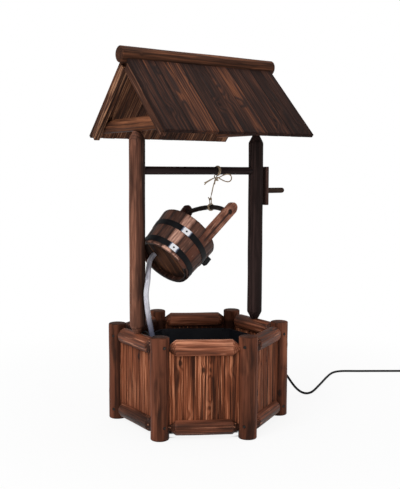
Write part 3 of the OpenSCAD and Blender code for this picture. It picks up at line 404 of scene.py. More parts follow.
# The four colours run from the darkest to the lightest wood
def woodLook(name, dark, mid, warm, light, frameMatrix=None, **changes):
    s = {**woodBase, **changes}
    look, m = newLook(name)
    place, tone = grainPlace(m, frameMatrix)
    warp = m.vector("SUBTRACT", m.noise(place, (11, 11, 2.2), 3.0, 0.55, "Color"), (0.5, 0.5, 0.5))
    bent = m.vector("ADD", place, m.stretch(warp, (s["wander"],) * 3))
    centre = m.add("TexVoronoi", {"Vector": m.stretch(place, s["knot"]), "Scale": 1.0})["Position"]
    gap = m.vector("SUBTRACT", place, m.vector("DIVIDE", centre, s["knot"]))
    gap = m.reach(gap, (1.0, 1.0, 0.6))
    swell = m.fade(gap, 0.0, s["bendOver"], 1.0, 0.0)
    core = m.fade(gap, 0.0035, 0.0075, 1.0, 0.0)
    fibre = m.noise(place, (430, 430, 11), 4.0, 0.62)
    blotch = m.noise(place, (22, 22, 2.6))
    coarse = m.noise(place, (190, 190, 4.5), 3.0, 0.6)
    long = m.noise(place, s["streakSize"], 3.0, 0.6)
    bare = m.noise(m.vector("ADD", place, (3.1, 1.7, 0.9)), (170, 170, 5.5), 3.0, 0.6)
    out = m.reach(bent, (1.0, 1.0, 0.0))
    phase = m.times(swell, s["bend"], m.calc("DIVIDE", out, s["pitch"]))
    phase = m.times(fibre, 0.35, phase)
    late = m.times(m.calc("SINE", m.times(phase, 6.2832)), 0.5, 0.5)
    late = m.calc("POWER", late, 2.4)
    value = 0.55
    for part, share in ((fibre, s["fibre"]), (coarse, s["coarse"]), (blotch, s["blotch"])):
        value = m.times(m.calc("SUBTRACT", part, 0.5), share, value)
    value = m.times(late, -s["ring"], value)
    # one side of an ear is paler, and a drying check runs down its middle from the bail's hole
    if s["check"]:
        parts = m.add("SeparateXYZ", {"Vector": bent})
        value = m.times(parts["X"], s["lean"], value)
        value = m.calc("ADD", value, m.fade(parts["Z"], -0.16, -0.06, -0.5, 0.0))
    # a recessed board has painted shade towards one side, where the rim shades it, and all round its edge painted shade
    # with dirt
    if s["sooted"]:
        value = m.calc("ADD", value, m.fade(m.vector("DOT_PRODUCT", place, s["sooted"]), 0.0, 0.07, 0.0, -0.6))
        edge = m.reach(place, (0.0, 1.0, 1.0))
        value = m.calc("ADD", value, m.fade(edge, 0.052, 0.074, 0.0, -0.35))
    value = m.calc("ADD", value, tone, clamp=True)
    colour = m.ramp(value, (0.08, dark), (0.36, mid), (0.6, warm), (0.92, light))
    bright = m.times(m.fade(bare, s["paleAt"], s["paleAt"] + 0.1), s["pale"])
    colour = m.mix(bright, colour, shade(*light))
    char = shade(*s["char"])
    darkening = m.times(m.fade(long, s["streakAt"], s["streakAt"] + s["streakEdge"]), s["streak"])
    colour = m.mix(darkening, colour, char)
    if s["check"]:
        low, high = s["check"]
        inside = m.times(m.fade(parts["Z"], low, low + 0.01), m.fade(parts["Z"], high - 0.01, high, 1.0, 0.0))
        crack = m.times(m.fade(m.calc("ABSOLUTE", parts["X"]), 0.0016, 0.0056, 0.95, 0.0), inside)
        hole = m.reach(bent, (1.0, 0.0, 1.0))
        crack = m.calc("MAXIMUM", crack, m.fade(hole, 0.0065, 0.0115, 0.95, 0.0))
        colour = m.mix(crack, colour, char)
    colour = m.mix(m.times(core, 0.85), colour, char)
    rough = m.times(fibre, 0.3, m.times(late, -0.12, s["rough"] - 0.12))
    height = m.times(late, 0.5, m.times(fibre, 0.7))
    height = m.times(darkening, -0.35, height)
    m.paint(colour, rough, m.bump(s["bump"], 0.0012, height), **{"Specular IOR Level": s["shine"]})
    return look


# Moulded plastic, rubber or steel: a tint that varies slowly, faint scuffs, a fine grained surface
plasticBase = {"tint": (26, 27, 30), "worn": (44, 45, 49), "rough": 0.42, "metal": 0.0, "shine": 0.4,
               "grainSize": 900.0, "bump": 0.12, "scuff": 55.0, "scuffAt": 0.58}


def plainLook(name, **changes):
    s = {**plasticBase, **changes}
    look, m = newLook(name)
    place = m.add("TexCoord")["Object"]
    scuff = m.noise(place, (s["scuff"],) * 3, 5.0, 0.65)
    colour = m.mix(m.fade(scuff, s["scuffAt"], s["scuffAt"] + 0.2), shade(*s["tint"]), shade(*s["worn"]))
    normal = m.bump(s["bump"], 0.0004, m.noise(place, (s["grainSize"],) * 3))
    m.paint(colour, m.times(scuff, 0.35, s["rough"] - 0.17), normal,
            **{"Metallic": s["metal"], "Specular IOR Level": s["shine"]})
    return look


# CAD nodes that keep their shape and get a look of their own
def repaint(look, slot, *names):
    for name in names:
        nodes[name].data.materials.clear()
        nodes[name].data.materials.append(look)


# Cords, hose and twine come first
cordFacts = {"length": 1.987, "diameter": 0.008, "relief": 42, "boot": (8.8, 4.9), "lies": 4.15}
cordRoute = [(206.3, 119.1, 115), (222, 128.2, 115), (246, 142, 113.5), (273, 157.5, 107.5), (297, 171.5, 96.5),
             (318, 183, 80.8), (330.5, 189.7, 64), (342, 195, 47.2), (357, 201, 28.5), (372, 206, 14.8),
             (385, 208.5, 7.8), (398, 211.8, 4.5)]
cordRoute += [(x, y, cordFacts["lies"]) for x, y in (
    (410.5, 219), (422.5, 233), (438, 259.5), (458, 299.8), (480, 344), (501, 388), (522, 430), (543, 469), (558, 491),
    (576, 507), (598, 514.5), (624, 515), (660, 512), (706, 510), (765, 507), (822, 504), (868, 503), (890, 503))]
coilFacts = {"centre": (908, 551, 4.15), "outside": 48, "pitch": 8.6, "turns": 2, "rise": 8.6}
coilEnds = [[(890.3, 503, 4.15), (899, 503, 4.15)],
            [(915, 502.8, 12.75), (924, 502.2, 12.3), (936, 502, 10.2), (949, 502, 7.5), (961, 502, 5.9),
             (970, 502, 5.6)]]


# The stored end: a flat spiral in, whose radius falls by the pitch each turn, then the same spiral out a layer higher
def coilLine():
    c = coilFacts
    a = np.arange(24 * 2 * c["turns"] + 1) / 24
    r = c["outside"] - c["pitch"] * np.minimum(a, 2 * c["turns"] - a)
    t = 2 * np.pi * a - np.pi / 2
    high = c["rise"] * np.clip(2 * (a - c["turns"]) + 0.5, 0, 1)
    turns = c["centre"] + polar(r, t, high)
    return np.concatenate([coilEnds[0], turns, coilEnds[1]])


blackRubber = plainLook("black_rubber", tint=(14, 14, 16), worn=(24, 24, 27), rough=0.62, shine=0.15, scuff=120.0)
blackPlastic = plainLook("black_plastic", tint=(12, 12, 14), worn=(26, 26, 29), rough=0.42, shine=0.25)
plugPin = plainLook("plug_pin", tint=(196, 194, 188), worn=(160, 158, 150), rough=0.3, metal=1.0, bump=0.05)
plugFacts = {"back": (993.2, 502, 8.0), "long": 33, "tail": (970.2, 502, 5.6), "tailL": 24, "straight": 10,
             "pins": (-9.3, 9.3), "pin": ((1024, 2), (1034, 2), (1042.5, 2), (1044.4, 1.6), (1045.2, 0.7))}


# The plug's body is a superellipse carried along x, the power 0.55 of a cosine and a sine, its half width and half
# height read from stations
def plugGrid():
    x = np.linspace(0, plugFacts["long"], 26)
    wide = np.interp(x, [0, 3, 12, 30, 32, 33], [6.2, 8.2, 12.6, 12.9, 12.0, 10.6])
    high = np.interp(x, [0, 3, 12, 30, 32, 33], [4.7, 6.2, 7.8, 7.8, 7.0, 6.0])
    a = circle(40)
    y, z = (size[:, None] * np.sign(wave) * np.abs(wave) ** 0.55
            for size, wave in ((wide, np.cos(a)), (high, np.sin(a))))
    points = plugFacts["back"] + np.stack([x[:, None] + 0 * y, y, z], -1)
    return {"points": points, "grain": points * 0.001, "tone": 0 * y}


# The strain relief and the plug's tail are tubes whose radius is cut back by narrow rings
def addCords():
    p = plugFacts
    route = smoothLine(cordRoute, 6)
    line = np.concatenate([route[:-1], smoothLine(coilLine(), 2)])
    cord = addPiece("power_cord_jacket", tubeGrid(line, 4.0, 16), "base", blackRubber, "cord_jacket", "power_cord",
                    "cord_coil")
    near = smoothLine(route[runOf(route) < cordFacts["relief"]], 6)
    s = runOf(near)
    taper = np.interp(s, [0, s[-1]], cordFacts["boot"]) * (1 - 0.09 * (np.sin(s * 2 * np.pi / 3.4) > 0.2))
    boot = addPiece("cord_strain_relief", tubeGrid(near, taper, 20), "base", blackRubber, "black_rubber")
    x = np.linspace(0, p["tailL"], 33)
    rise = 2.4 * np.maximum(0, (x - p["straight"]) / (p["tailL"] - p["straight"])) ** 2
    tail = p["tail"] + np.stack([x, 0 * x, rise], -1)
    ribs = np.linspace(5.0, 5.8, 33) * (1 - 0.1 * (np.arange(33) % 4 == 3))
    plug = addPiece("plug_body", [plugGrid(), tubeGrid(tail, ribs, 20)], "base", blackRubber, "black_rubber",
                    "mains_plug")
    pins = [tubeGrid(np.array([(x, p["back"][1] + y, p["back"][2]) for x, _ in p["pin"]]), [r for _, r in p["pin"]], 20)
            for y in p["pins"]]
    pin = addPiece("plug_pins", pins, "base", plugPin, "screw_steel")


addCords()
print("power cord, strain relief and plug made")

hoseFacts = {"radius": 8.0, "bore": 6.4, "bends": [(-172, -10, 252), (-168, 22, 512)], "leadR": 3.25}
hoseRoute = [(-112, 0, 64), (-112, 0, 82), (-112, 0, 104), (-115, 0, 128), (-122, 0, 152), (-138, -1, 182),
             (-157, -4, 217), (-172, -10, 252), (-186, -18, 292), (-202, -28, 343), (-210, -32, 378),
             (-213, -31.5, 414), (-209.5, -29.5, 438), (-203, -24, 458), (-193.5, -10, 477), (-182, 6, 495),
             (-168, 22, 512)]
bucketRoute = [(-18, 40, -238), (-18, 40, -226), (-18, 40, -213), (-16, 37, -197), (-9, 29, -178), (6, 14, -159),
               (27, -2, -144), (45, -12.5, -134), (58, -20.2, -129), (67.5, -24.5, -128), (77, -28, -128)]
leadRoute = [(-112, 30.3, 38), (-112, 38, 38), (-112, 58, 40), (-112, 78, 51), (-112, 94, 74), (-112, 103, 105),
             (-112, 108, 142), (-113, 112, 180), (-113, 114, 210), (-113, 115, 235), (-113, 119, 248),
             (-113, 130, 257.5), (-113, 145, 261), (-113, 160, 257.5), (-113, 171, 248), (-113, 175, 235),
             (-112, 174, 208), (-107, 171, 150), (-101, 166, 90), (-97, 163, 55), (-91, 164, 32), (-80, 170, 14),
             (-64, 180, 5), (-44, 191, 4), (-18, 201, 4), (12, 204, 4), (42, 192, 4), (80, 170, 4), (120, 148, 4),
             (152, 129, 4), (174, 112, 4), (186, 93, 5), (191, 71, 9), (191, 50, 21), (188.5, 34, 42), (186, 19, 66),
             (185.6, 9, 86), (188.6, 3.2, 101.3), (193, 1.2, 107), (198.5, 0.3, 111.3), (205, 0, 114.1),
             (212, 0, 115), (216, 0, 115), (219, 0, 115), (228, 0, 115), (238, 0, 115)]


# Clear hose: a milky see-through plastic with faint grey drawing lines along it, and painted shade that makes it darker
# where it leaves the well
def hoseLook():
    look, m = newLook("clear_tube")
    place, _ = grainPlace(m)
    lines = m.noise(place, (260, 260, 9), 3.0, 0.6)
    milk = m.noise(place, (40, 40, 22))
    colour = m.ramp(m.times(milk, 0.5, m.times(lines, 0.5)), (0.34, (152, 150, 164)), (0.48, (220, 218, 229)),
                    (0.6, (247, 246, 252)))
    # painted shade: the hose is darker in its lower run, inside the well
    low = m.mix(1.0, colour, shade(152, 156, 176), "MULTIPLY")
    run = m.add("SeparateXYZ", {"Vector": place})["Z"]
    m.paint(m.mix(m.fade(run, 0.25, 0.34), low, colour), 0.18, m.bump(0.15, 0.0005, lines),
            **{"Transmission Weight": 0.35, "IOR": 1.42})
    return look


# A hollow tube: the outer wall carried along the line, then the inner wall back again, as one closed ring of rows
def hollowGrid(line, outer, inner, sides=28):
    wall = tubeGrid(line, outer, sides)
    bore = tubeGrid(line, inner, sides)
    return {key: np.concatenate([wall[key], bore[key][::-1]]) for key in ("points", "grain", "tone")} | {"ring": True}


# The hose runs from the pump to the spout, the lead over the wall to the grommet.
def addHose():
    h = hoseFacts
    line = smoothLine(np.concatenate([carry(inWell, hoseRoute), carry(inBucket, bucketRoute)]), 4)
    hose = addPiece("clear_hose", hollowGrid(line, h["radius"], h["bore"]), "base", hoseLook(), "clear_tube",
                    "water_hose", rides=False)
    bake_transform(hose)
    lead = smoothLine(carry(inWell, leadRoute), 5)
    wire = addPiece("pump_wire", tubeGrid(lead, h["leadR"], 14), "base", blackRubber, "cord_jacket", "pump_lead")


addHose()
print("hose and pump lead made")

twineFacts = {"radius": 1.9, "plies": 3, "pitch": 9.0, "wraps": 1, "wrapPitch": 4.6, "wrapAt": 67, "ring": 14.7,
              "eye": 10.1, "eyeWide": 7.6, "knot": (60, 0, 762), "bow": 52, "ears": 51.4, "farTurn": 7}
bailFacts = {"span": 92.3, "rise": 23, "pin": 15.75, "middle": (6.26, -0.38, 0), "turn": -3.5, "radius": 7.7,
             "pinR": 6.3}


# Laid twine: each ply is a tube whose own line runs round the twine's line, one turn each pitch
def layTwine(line, seed):
    t = twineFacts
    u, v = across(line)
    s = runOf(line)[:, None]
    grids = []
    for k in range(t["plies"]):
        a = 2 * np.pi * (s / t["pitch"] + k / t["plies"]) + 0.5 * np.sin(s / 13 + seed)
        ply = line + t["radius"] * 0.5 * (np.cos(a) * u + np.sin(a) * v)
        grids.append(tubeGrid(ply, t["radius"] * (0.54 + 0.03 * np.sin(s[:, 0] / 3.1 + k)), 8, tone=0.06 * (k - 1)))
    return grids


# Jute: fine pale hairs along the plies over slow stains
def juteLook():
    look, m = newLook("jute_twine")
    place, tone = grainPlace(m)
    hairs = m.noise(place, (1500, 1500, 260), 3.0, 0.6)
    slow = m.noise(place, (60, 60, 35))
    value = m.calc("ADD", m.times(slow, 0.6, m.times(hairs, 0.5)), tone)
    colour = m.ramp(value, (0.3, (112, 90, 70)), (0.52, (168, 143, 116)), (0.75, (214, 192, 162)))
    m.paint(colour, 0.9, m.bump(0.5, 0.0006, hairs))
    return look


def beside(centre, *offsets):
    return [centre + offset for offset in offsets]


# The hanging line: a helix of a turn and a half round the crossbar, down to the bail, two turns round it, which is half
# way between the ears, and up to the small knot. A second piece holds the short rise to the crossbar, the bow, a figure
# of sines in front of the upper knot, and both knots, each a ball of three close turns whose axis leans.
def addTwine():
    t = twineFacts
    knot = np.array(t["knot"], float)
    farTurn = math.radians(t["farTurn"])
    middle = t["ears"] * np.array([math.sin(farTurn), math.cos(farTurn) - 1, 0])
    bucketToWell = np.linalg.inv(inWell) @ inBucket
    apex = carry(bucketToWell, [middle + (0, 0, bailFacts["rise"])])[0]
    small = apex + (-2, 0, t["eye"] + 14)
    lean = math.radians(t["farTurn"] / 2)
    along = bucketToWell[:3, :3] @ (math.sin(lean), math.cos(lean), 0)
    out = np.cross(along, (0, 0, 1))
    out /= np.linalg.norm(out)
    up = np.cross(out, along)
    a = np.radians(15) * np.arange(24 * t["wraps"] + 13)
    turns = np.stack([t["wrapAt"] + t["wrapPitch"] * a / (2 * np.pi), -t["ring"] * np.cos(a),
                      well["barZ"] + t["ring"] * np.sin(a)], -1)
    k = np.arange(49)[:, None]
    b = np.radians(90) - np.radians(15) * k
    eye = apex + t["eye"] * (np.cos(b) * out + np.sin(b) * up) + (t["eyeWide"] * k / 48 - t["eyeWide"] / 2) * along
    line = np.concatenate([turns, beside(turns[-1], (-2, -1, -10), (-11, -7, -19)),
                           beside(knot, (5, 3, 3), (0, 0, -3)), beside(small, (2, 0, 8), (2, -2, 0)),
                           beside(eye[0], (0, 0, 4)), eye, beside(eye[-1], (0, 0, 5)),
                           beside(small, (-3, 2, 2), (-7, 1, 8))])
    rise = beside(knot, (-4, -4, -16), (-1, -3, -6), (2, -4, 6)) + beside(turns[0], (-3, 0, -9), (0, 0, 0))
    k = np.arange(25)[:, None]
    c = np.radians(7.5 * k - 90)
    bow = np.concatenate([t["bow"] * np.cos(c), 7 * k / 24 - 15.6, -3 * np.cos(c) - 12 * np.sin(2 * c)], 1)
    bow = np.concatenate([beside(knot, (-51, -15.6, -11), (-43, -15.6, -8), (-26, -15.6, 0), (-9, -15.6, 5)),
                          knot + (5, 0, 6) + bow,
                          beside(knot, (-9, -9.6, 4), (-24, -9.6, -3), (-38, -9.6, -10), (-47, -9.6, -17))])
    line, bow, rise = (smoothLine(carry(inWell, p), 4) for p in (line, bow, rise))
    grids = layTwine(rise, 1.0) + layTwine(bow, 2.0)
    w = np.linspace(0, 1, 120)[:, None]
    for at, size in ((knot + (1, -8, -1), 4.6), (small + (0.5, 0, 3), 3.4)):
        ball = at + np.concatenate([size * np.cos(6 * np.pi * w) * (0.75 + 0.25 * np.sin(5 * w)),
                                    size * np.sin(6 * np.pi * w) * 0.9,
                                    size * (1.5 * w - 0.75) + 1.8 * np.sin(4 * np.pi * w)], 1)
        grids += layTwine(carry(inWell, ball), 3.0)
    jute = juteLook()
    twine = addPiece("hanging_twine", layTwine(line, 1.0), "bucket", jute, "jute_twine", "bail_twine", angle=60)
    tied = addPiece("twine_bow", grids, "bucket", jute, "jute_twine", angle=60)


addTwine()
print("twine made")

# The log wall
postLook = woodLook("post_log", (50, 26, 16), (88, 49, 33), (110, 63, 45), (158, 98, 71), coarse=0.45, fibre=0.5,
                    blotch=1.5, pitch=0.008, wander=0.03, ring=0.25, streak=0.62, pale=0.3, rough=0.62, shine=0.1,
                    **burntZones)
postFacts = {"seeds": (11, 12, 13, 14, 15, 16), "tones": (-0.1, 0.0, 0.0, -0.05, -0.1, -0.16), "soot": -0.5,
             "edge": 4, "screw": 4.5, "hole": (3.2, 5.0)}


# Each post is a turned log with four sunk screw holes. The side that looks into the well carries painted shade below
# the top rails: the tone falls with the share by which a point faces inwards and with its depth.
def addPosts():
    w, f, r, top, edge = well, postFacts, well["postR"], well["postH"], postFacts["edge"]
    profile = [(0, r - 2), (0.6, r - 0.9), (2, r), (top - edge, r), (top - edge * 0.6, r - edge * 0.12),
               (top - edge * 0.3, r - edge * 0.35), (top - 0.5, r - edge * 0.75), (top, r - edge - 1)]
    for i in range(6):
        holes = [(math.radians(60 * i + 480 - 240 * end) % (2 * math.pi), z + (-1) ** (i + end) * f["screw"],
                  *f["hole"]) for z in w["railZ"] for end in (0, 1)]
        grid = logGrid(profile, f["seeds"][i], holes=holes, uneven=0.7, checks=3, tone=f["tones"][i], step=7,
                       endTone=-0.3)
        spot = grid["points"] - (0, 0, w["railZ"][1] + 6)
        inward = -(spot[..., :2] @ onCorner(i)[:2, 3]) / w["side"] / r
        # painted shade on the inward side, below the top rails
        grid["tone"] += f["soot"] * np.clip(inward + 0.4, 0, 1) * np.clip(-spot[..., 2] / 12, 0, 1)
        addPiece(f"post_{i + 1}", placed(grid, onCorner(i)), "base", postLook, "burnt_log", f"corner_post_{i + 1}",
                 angle=50)


railLook = woodLook("rail_log", (50, 26, 16), (100, 56, 38), (138, 80, 56), (222, 152, 118), streak=0.5, coarse=0.7,
                    blotch=1.4, fibre=0.75, pale=0.6, ring=0.2, shine=0.14, rough=0.5, **burntZones)
# each rail's tone is partly its own wood and partly painted light and shade: a painted highlight on the front top rail,
# painted shade on the others
railTones = {"bottom": (-0.24, -0.2, -0.2, -0.16, -0.1, -0.1), "top": (-0.28, 0.22, -0.18, -0.16, -0.14, -0.36)}


# A rail is a log drawn in by a cone and a round tenon at each end
def addRails():
    w = well
    low = w["postR"] - w["side"] / 2
    profile = bothEnds([(low - w["tenonL"], w["tenonR"]), (low, w["tenonR"]),
                        (low + w["railCone"] - 1.5, w["railR"] - 0.9), (low + w["railCone"] + 1.5, w["railR"])])
    for i in range(6):
        for k, (z, name) in enumerate(zip(w["railZ"], railTones)):
            grid = logGrid(profile, 40 + 6 * k + i, knots=1, step=6, around=60, tone=railTones[name][i], endTone=-0.5,
                           ends=w["railCone"] + 6)
            addPiece(f"rail_{name}_{i + 1}", placed(grid, onSide(i) @ shift(0, 0, z) @ turn(-90, "X")), "base",
                     railLook, "burnt_log", f"{name}_rail_{i + 1}", angle=60)


panelTones = ((54, 27, 16), (107, 58, 37), (136, 76, 50), (206, 137, 101))
panelWood = {"pitch": 0.0034, "fibre": 0.9, "coarse": 1.7, "pale": 0.7, "bump": 0.7, "knot": (50, 20, 8)}
panelLook = woodLook("panel_board", *panelTones, **panelWood)
panelFacts = {"gap": 0.02, "tuck": 4, "inside": -0.45, "bored": 3}


# Five boards a wall, each with its own grain and tone, with painted shade on their faces inside the well. The outer two
# tuck in behind the posts, and the cord's wall keeps its round hole.
def addPanels():
    w, f = well, panelFacts
    wide = w["side"] - 2 * w["postR"] - 2 * w["fit"]
    pitch = wide / w["boards"]
    sunk = w["railR"] - w["groove"]
    low, high = w["railZ"][0] + sunk + w["fit"], w["railZ"][1] - sunk - w["fit"]
    for i in range(6):
        if i == f["bored"]:
            repaint(woodLook("panel_bored", *panelTones, frameMatrix=onSide(i), **panelWood), "board",
                    f"wall_panel_{i + 1}")
            continue
        grids = []
        for k in range(w["boards"]):
            extra = f["tuck"] * ((k == w["boards"] - 1) - (k == 0))
            grid = boardGrid(w["boardT"], pitch - f["gap"] + abs(extra), high - low + 2 * w["groove"],
                             100 + 10 * i + k, edge=1.6, spread=0.09, endReach=16.0)
            # painted shade on the face inside the well
            grid["tone"] += f["inside"] * (grid["points"][..., 0] < 0)
            y = -wide / 2 + pitch * (k + 0.5) + extra / 2
            grids.append(placed(grid, onSide(i) @ shift(0, y, low - w["groove"])))
        addPiece(f"panel_{i + 1}", grids, "base", panelLook, "board", f"wall_panel_{i + 1}")


addPosts()
addRails()
addPanels()
repaint(plainLook("screw_steel", tint=(38, 34, 32), worn=(84, 78, 72), rough=0.45, metal=0.6), "screw_steel",
        "frame_screws")
print("wall made")

# Tall posts, roof and ridge
tallLook = woodLook("tall_post_left", (42, 25, 18), (82, 50, 38), (110, 70, 54), (162, 110, 87), coarse=0.6,
                    blotch=1.1, streak=0.5, ring=0.2, rough=0.62, shine=0.12, **burntZones)
# the right tall post is the left one's wood in painted shade: the same wood in much darker colours
shadedTallLook = woodLook("tall_post_right", (38, 27, 25), (48, 35, 33), (57, 43, 41), (78, 59, 55), char=(25, 18, 17),
                        coarse=0.7)
# the tall posts' painted shade: how dark it gets, and where round the post it starts
tallFacts = {"girth": 0.8, "shadeFrom": 0.3, "darkening": -0.55, "pale": 0.14}


# A tall post is a log with a cone at each end. It has painted shade, darker by how far a point faces the well's side of
# the crank.
def addTallPosts():
    w, f = well, tallFacts
    r = w["mastR"] + f["girth"]
    profile = bothEnds([(0, w["mastTip"]), (w["mastCone"] - 1.5, r - 0.7), (w["mastCone"] + 2, r)], w["mastL"])
    for side, name, look in ((-1, "left", tallLook), (1, "right", shadedTallLook)):
        grid = logGrid(profile, 60 + side, uneven=0.5, checks=3, knots=4, endTone=-0.1)
        facing = grid["points"] @ np.linalg.inv(inWell)[:3, 0] / w["mastR"]
        grid["tone"] = grid["tone"] + f["pale"] + f["darkening"] * np.clip(facing + f["shadeFrom"], 0, 1)
        addPiece(f"tall_post_{name}", placed(grid, inWell @ shift(side * apothem, 0, w["mastZ"])), "base", look,
                 "burnt_log", f"well_post_{name}", angle=60)


tieLook = woodLook("tie_beam_log", (28, 15, 9), (56, 32, 21), (82, 48, 31), (140, 88, 60), coarse=0.7, blotch=1.5,
                   streak=0.4, ring=0.2, **burntZones)


# A tie beam runs across the well; its ends are cut along the underside of the boards, so its length at each height is
# twice the drop from the ridge, less the boards.
def addTieBeams():
    w = well
    for side, name in ((-1, "left"), (1, "right")):
        grid = logGrid([(-1, w["tieR"]), (1, w["tieR"])], 70 + side, uneven=0.5, knots=0, step=0.04, drift=0)
        p = grid["points"]
        p[..., 2] = p[..., 2] * ((w["ridgeZ"] - w["tieZ"]) + p[..., 0] - w["tieDrop"])
        grid["grain"] = (p + (5, -4, 300 * side)) * 0.001
        grid["tone"] = grid["tone"] * 0 + 0.03
        place = inWell @ shift(side * apothem, 0, w["tieZ"]) @ turn(90, "Z") @ turn(90, "Y")
        addPiece(f"tie_beam_log_{name}", placed(grid, place), "base", tieLook, "burnt_log", f"tie_beam_{name}",
                 angle=60)


roofLook = woodLook("roof_board", (32, 20, 17), (47, 30, 25), (66, 41, 32), (116, 70, 47), char=(24, 16, 16),
                    pitch=0.006, wander=0.02, ring=0.4, coarse=0.9, blotch=1.1, streak=0.5, pale=0.3, rough=0.78,
                    knot=(18, 18, 6), bend=1.6, bendOver=0.026)
backRoofLook = woodLook("roof_board_back", (44, 25, 16), (76, 45, 31), (98, 61, 42), (172, 122, 90),
                        char=(26, 17, 14), pitch=0.0038, coarse=1.7, pale=0.75, shine=0.1)
roofFacts = {"front": (-0.06, 0.02, 0.05, 0.24, -0.04, 0.0, 0.02, 0.2, -0.08, -0.04, -0.1, -0.06),
             "back": (0.1, -0.04, 0.06, 0.0, -0.06, -0.16, -0.14, -0.1, -0.08, 0.02, 0.08, 0.0), "gap": 0.02}


# Twelve boards a slope, each shorter than the slope by its own small random length
def addRoof():
    w = well
    pitch = w["roofL"] / w["roofBoards"]
    start = w["ridgeR"] + w["fit"]
    for back, name, look in ((False, "front", roofLook), (True, "back", backRoofLook)):
        grids = []
        for k in range(w["roofBoards"]):
            long = w["slopeL"] - start + np.random.default_rng(300 + 20 * back + k).uniform(-1.2, 0)
            grid = boardGrid(w["roofT"], pitch - roofFacts["gap"], long, 320 + 20 * back + k, edge=2.0, wave=0.4,
                             tone=roofFacts[name][k], spread=0.02, depth=60)
            x = (k + 0.5) * pitch - w["roofL"] / 2
            grids.append(placed(grid, onSlope(back) @ shift(x, start, 0) @ asRoofBoard))
        addPiece(f"roof_{name}", grids, "base", look, "roof_board", f"roof_boards_{name}")


battenLook = woodLook("gable_batten", (50, 30, 22), (80, 50, 37), (102, 66, 49), (146, 100, 76))
gableEdgeLook = woodLook("gable_edge", (44, 25, 17), (74, 44, 31), (100, 63, 44), (178, 130, 98), char=(26, 17, 14),
                         coarse=2.2, pale=0.9, paleAt=0.52, shine=0.1)


# A batten lies under each edge of a slope, from the ridge down to its own distance from the eaves
def addBattens():
    w = well
    top = w["roofT"] / 2 + w["battenT"]
    start = top + w["fit"]
    thick = w["battenT"] - w["fit"]
    for end, name in ((-1, "left"), (1, "right")):
        for back, slope, look in ((False, "front", battenLook), (True, "back", gableEdgeLook)):
            x = (-end if back else end) * (w["roofL"] / 2 - w["battenW"] / 2)
            grid = boardGrid(thick, w["battenW"], w["slopeL"] - start - w["battenEnd"][name], 360 + end + 5 * back,
                             tone=0.06)
            place = onSlope(back) @ shift(x, start, -top + thick / 2) @ asRoofBoard
            addPiece(f"gable_batten_{name}_{slope}", placed(grid, place), "base", look, "board",
                     f"gable_battens_{name}")


ridgeLook = woodLook("ridge_log", (38, 23, 17), (60, 37, 26), (82, 50, 35), (130, 82, 57), coarse=1.0)


# The ridge is a log whose ends are rounded by a few steps of radius
def addRidge():
    low, r = -well["roofL"] / 2 - well["ridgePast"], well["ridgeR"]
    profile = bothEnds([(low, r - 4.5), (low + 0.6, r - 3.2), (low + 2, r - 1.4), (low + 4, r)])
    grid = logGrid(profile, 81, uneven=0.7, checks=3, knots=4, around=56, endTone=-0.15)
    addPiece("ridge_pole", placed(grid, inWell @ shift(0, 0, well["ridgeZ"]) @ alongX), "base", ridgeLook, "burnt_log",
             "ridge_log", angle=50)


addTallPosts()
addTieBeams()
addRoof()
addBattens()
addRidge()
print("posts and roof made")

# Windlass: crossbar, crank arm and peg
barLook = woodLook("black_wood", (25, 17, 17), (35, 25, 25), (44, 32, 32), (62, 46, 44), char=(19, 14, 14), rough=0.5)
armLook = woodLook("crank_wood", (58, 40, 36), (84, 60, 55), (102, 74, 67), (134, 100, 88), char=(52, 36, 33))
pegLook = woodLook("peg_wood", (46, 34, 28), (60, 47, 40), (74, 58, 48), (98, 78, 64))
crankFacts = {"blind": 13, "gap": 3, "arm": (12, 46, 127), "armTop": 14, "throw": 65, "pegR": 9.0, "pegL": 82}


# The bar is a plain log. The arm is a board, its thickness along the bar. The peg is a log that ends in a half ball:
# radius times the sine along it, radius times the cosine across.
def addWindlass():
    w, f = well, crankFacts
    start, arm = -apothem - f["blind"], apothem + w["mastR"] + f["gap"]
    bar = logGrid([(start, w["barR"]), (arm, w["barR"])], 90, uneven=0.12, checks=1, knots=0, step=12, around=48)
    addPiece("crossbar_rod", placed(bar, inWell @ shift(0, 0, w["barZ"]) @ alongX), "windlass", barLook, "black_wood",
             "crossbar", angle=50)
    thick, wide, long = f["arm"]
    board = boardGrid(thick, wide, long, 91, edge=2.6, wave=0.3, step=9, depth=30)
    place = inWell @ shift(arm + thick / 2, 0, w["barZ"] + f["armTop"] - long)
    addPiece("crank_board", placed(board, place), "windlass", armLook, "black_wood", "crank_arm")
    r, tip = f["pegR"], f["pegL"]
    ball = [(tip - r + r * math.sin(t), max(r * math.cos(t), 0.4)) for t in np.radians(np.arange(15, 90, 12))]
    peg = logGrid([(-2, r), (tip - r, r), *ball, (tip, 0.3)], 92, uneven=0.2, checks=1, knots=0, step=6, around=40,
                  endTone=0)
    place = inWell @ shift(arm + thick, 0, w["barZ"] - f["throw"]) @ alongX
    addPiece("crank_handle", placed(peg, place), "windlass", pegLook, "black_wood", "crank_peg", angle=60)


addWindlass()
print("windlass made")

# The bucket
bucket = {"low": 88.0, "slope": 11.5 / 136, "high": 136, "stave": 11, "holeH": 240, "staves": 16, "farTurn": 7,
          "hoopW": 20, "hoops": ((18, "lower"), (84, "upper")), "hoopT": 1.2, "gap": 0.15, "lapAt": -127, "lap": 20,
          "rivet": ((0, 3.1), (0.5, 3.0), (1.0, 2.5), (1.4, 1.6), (1.55, 0.4))}
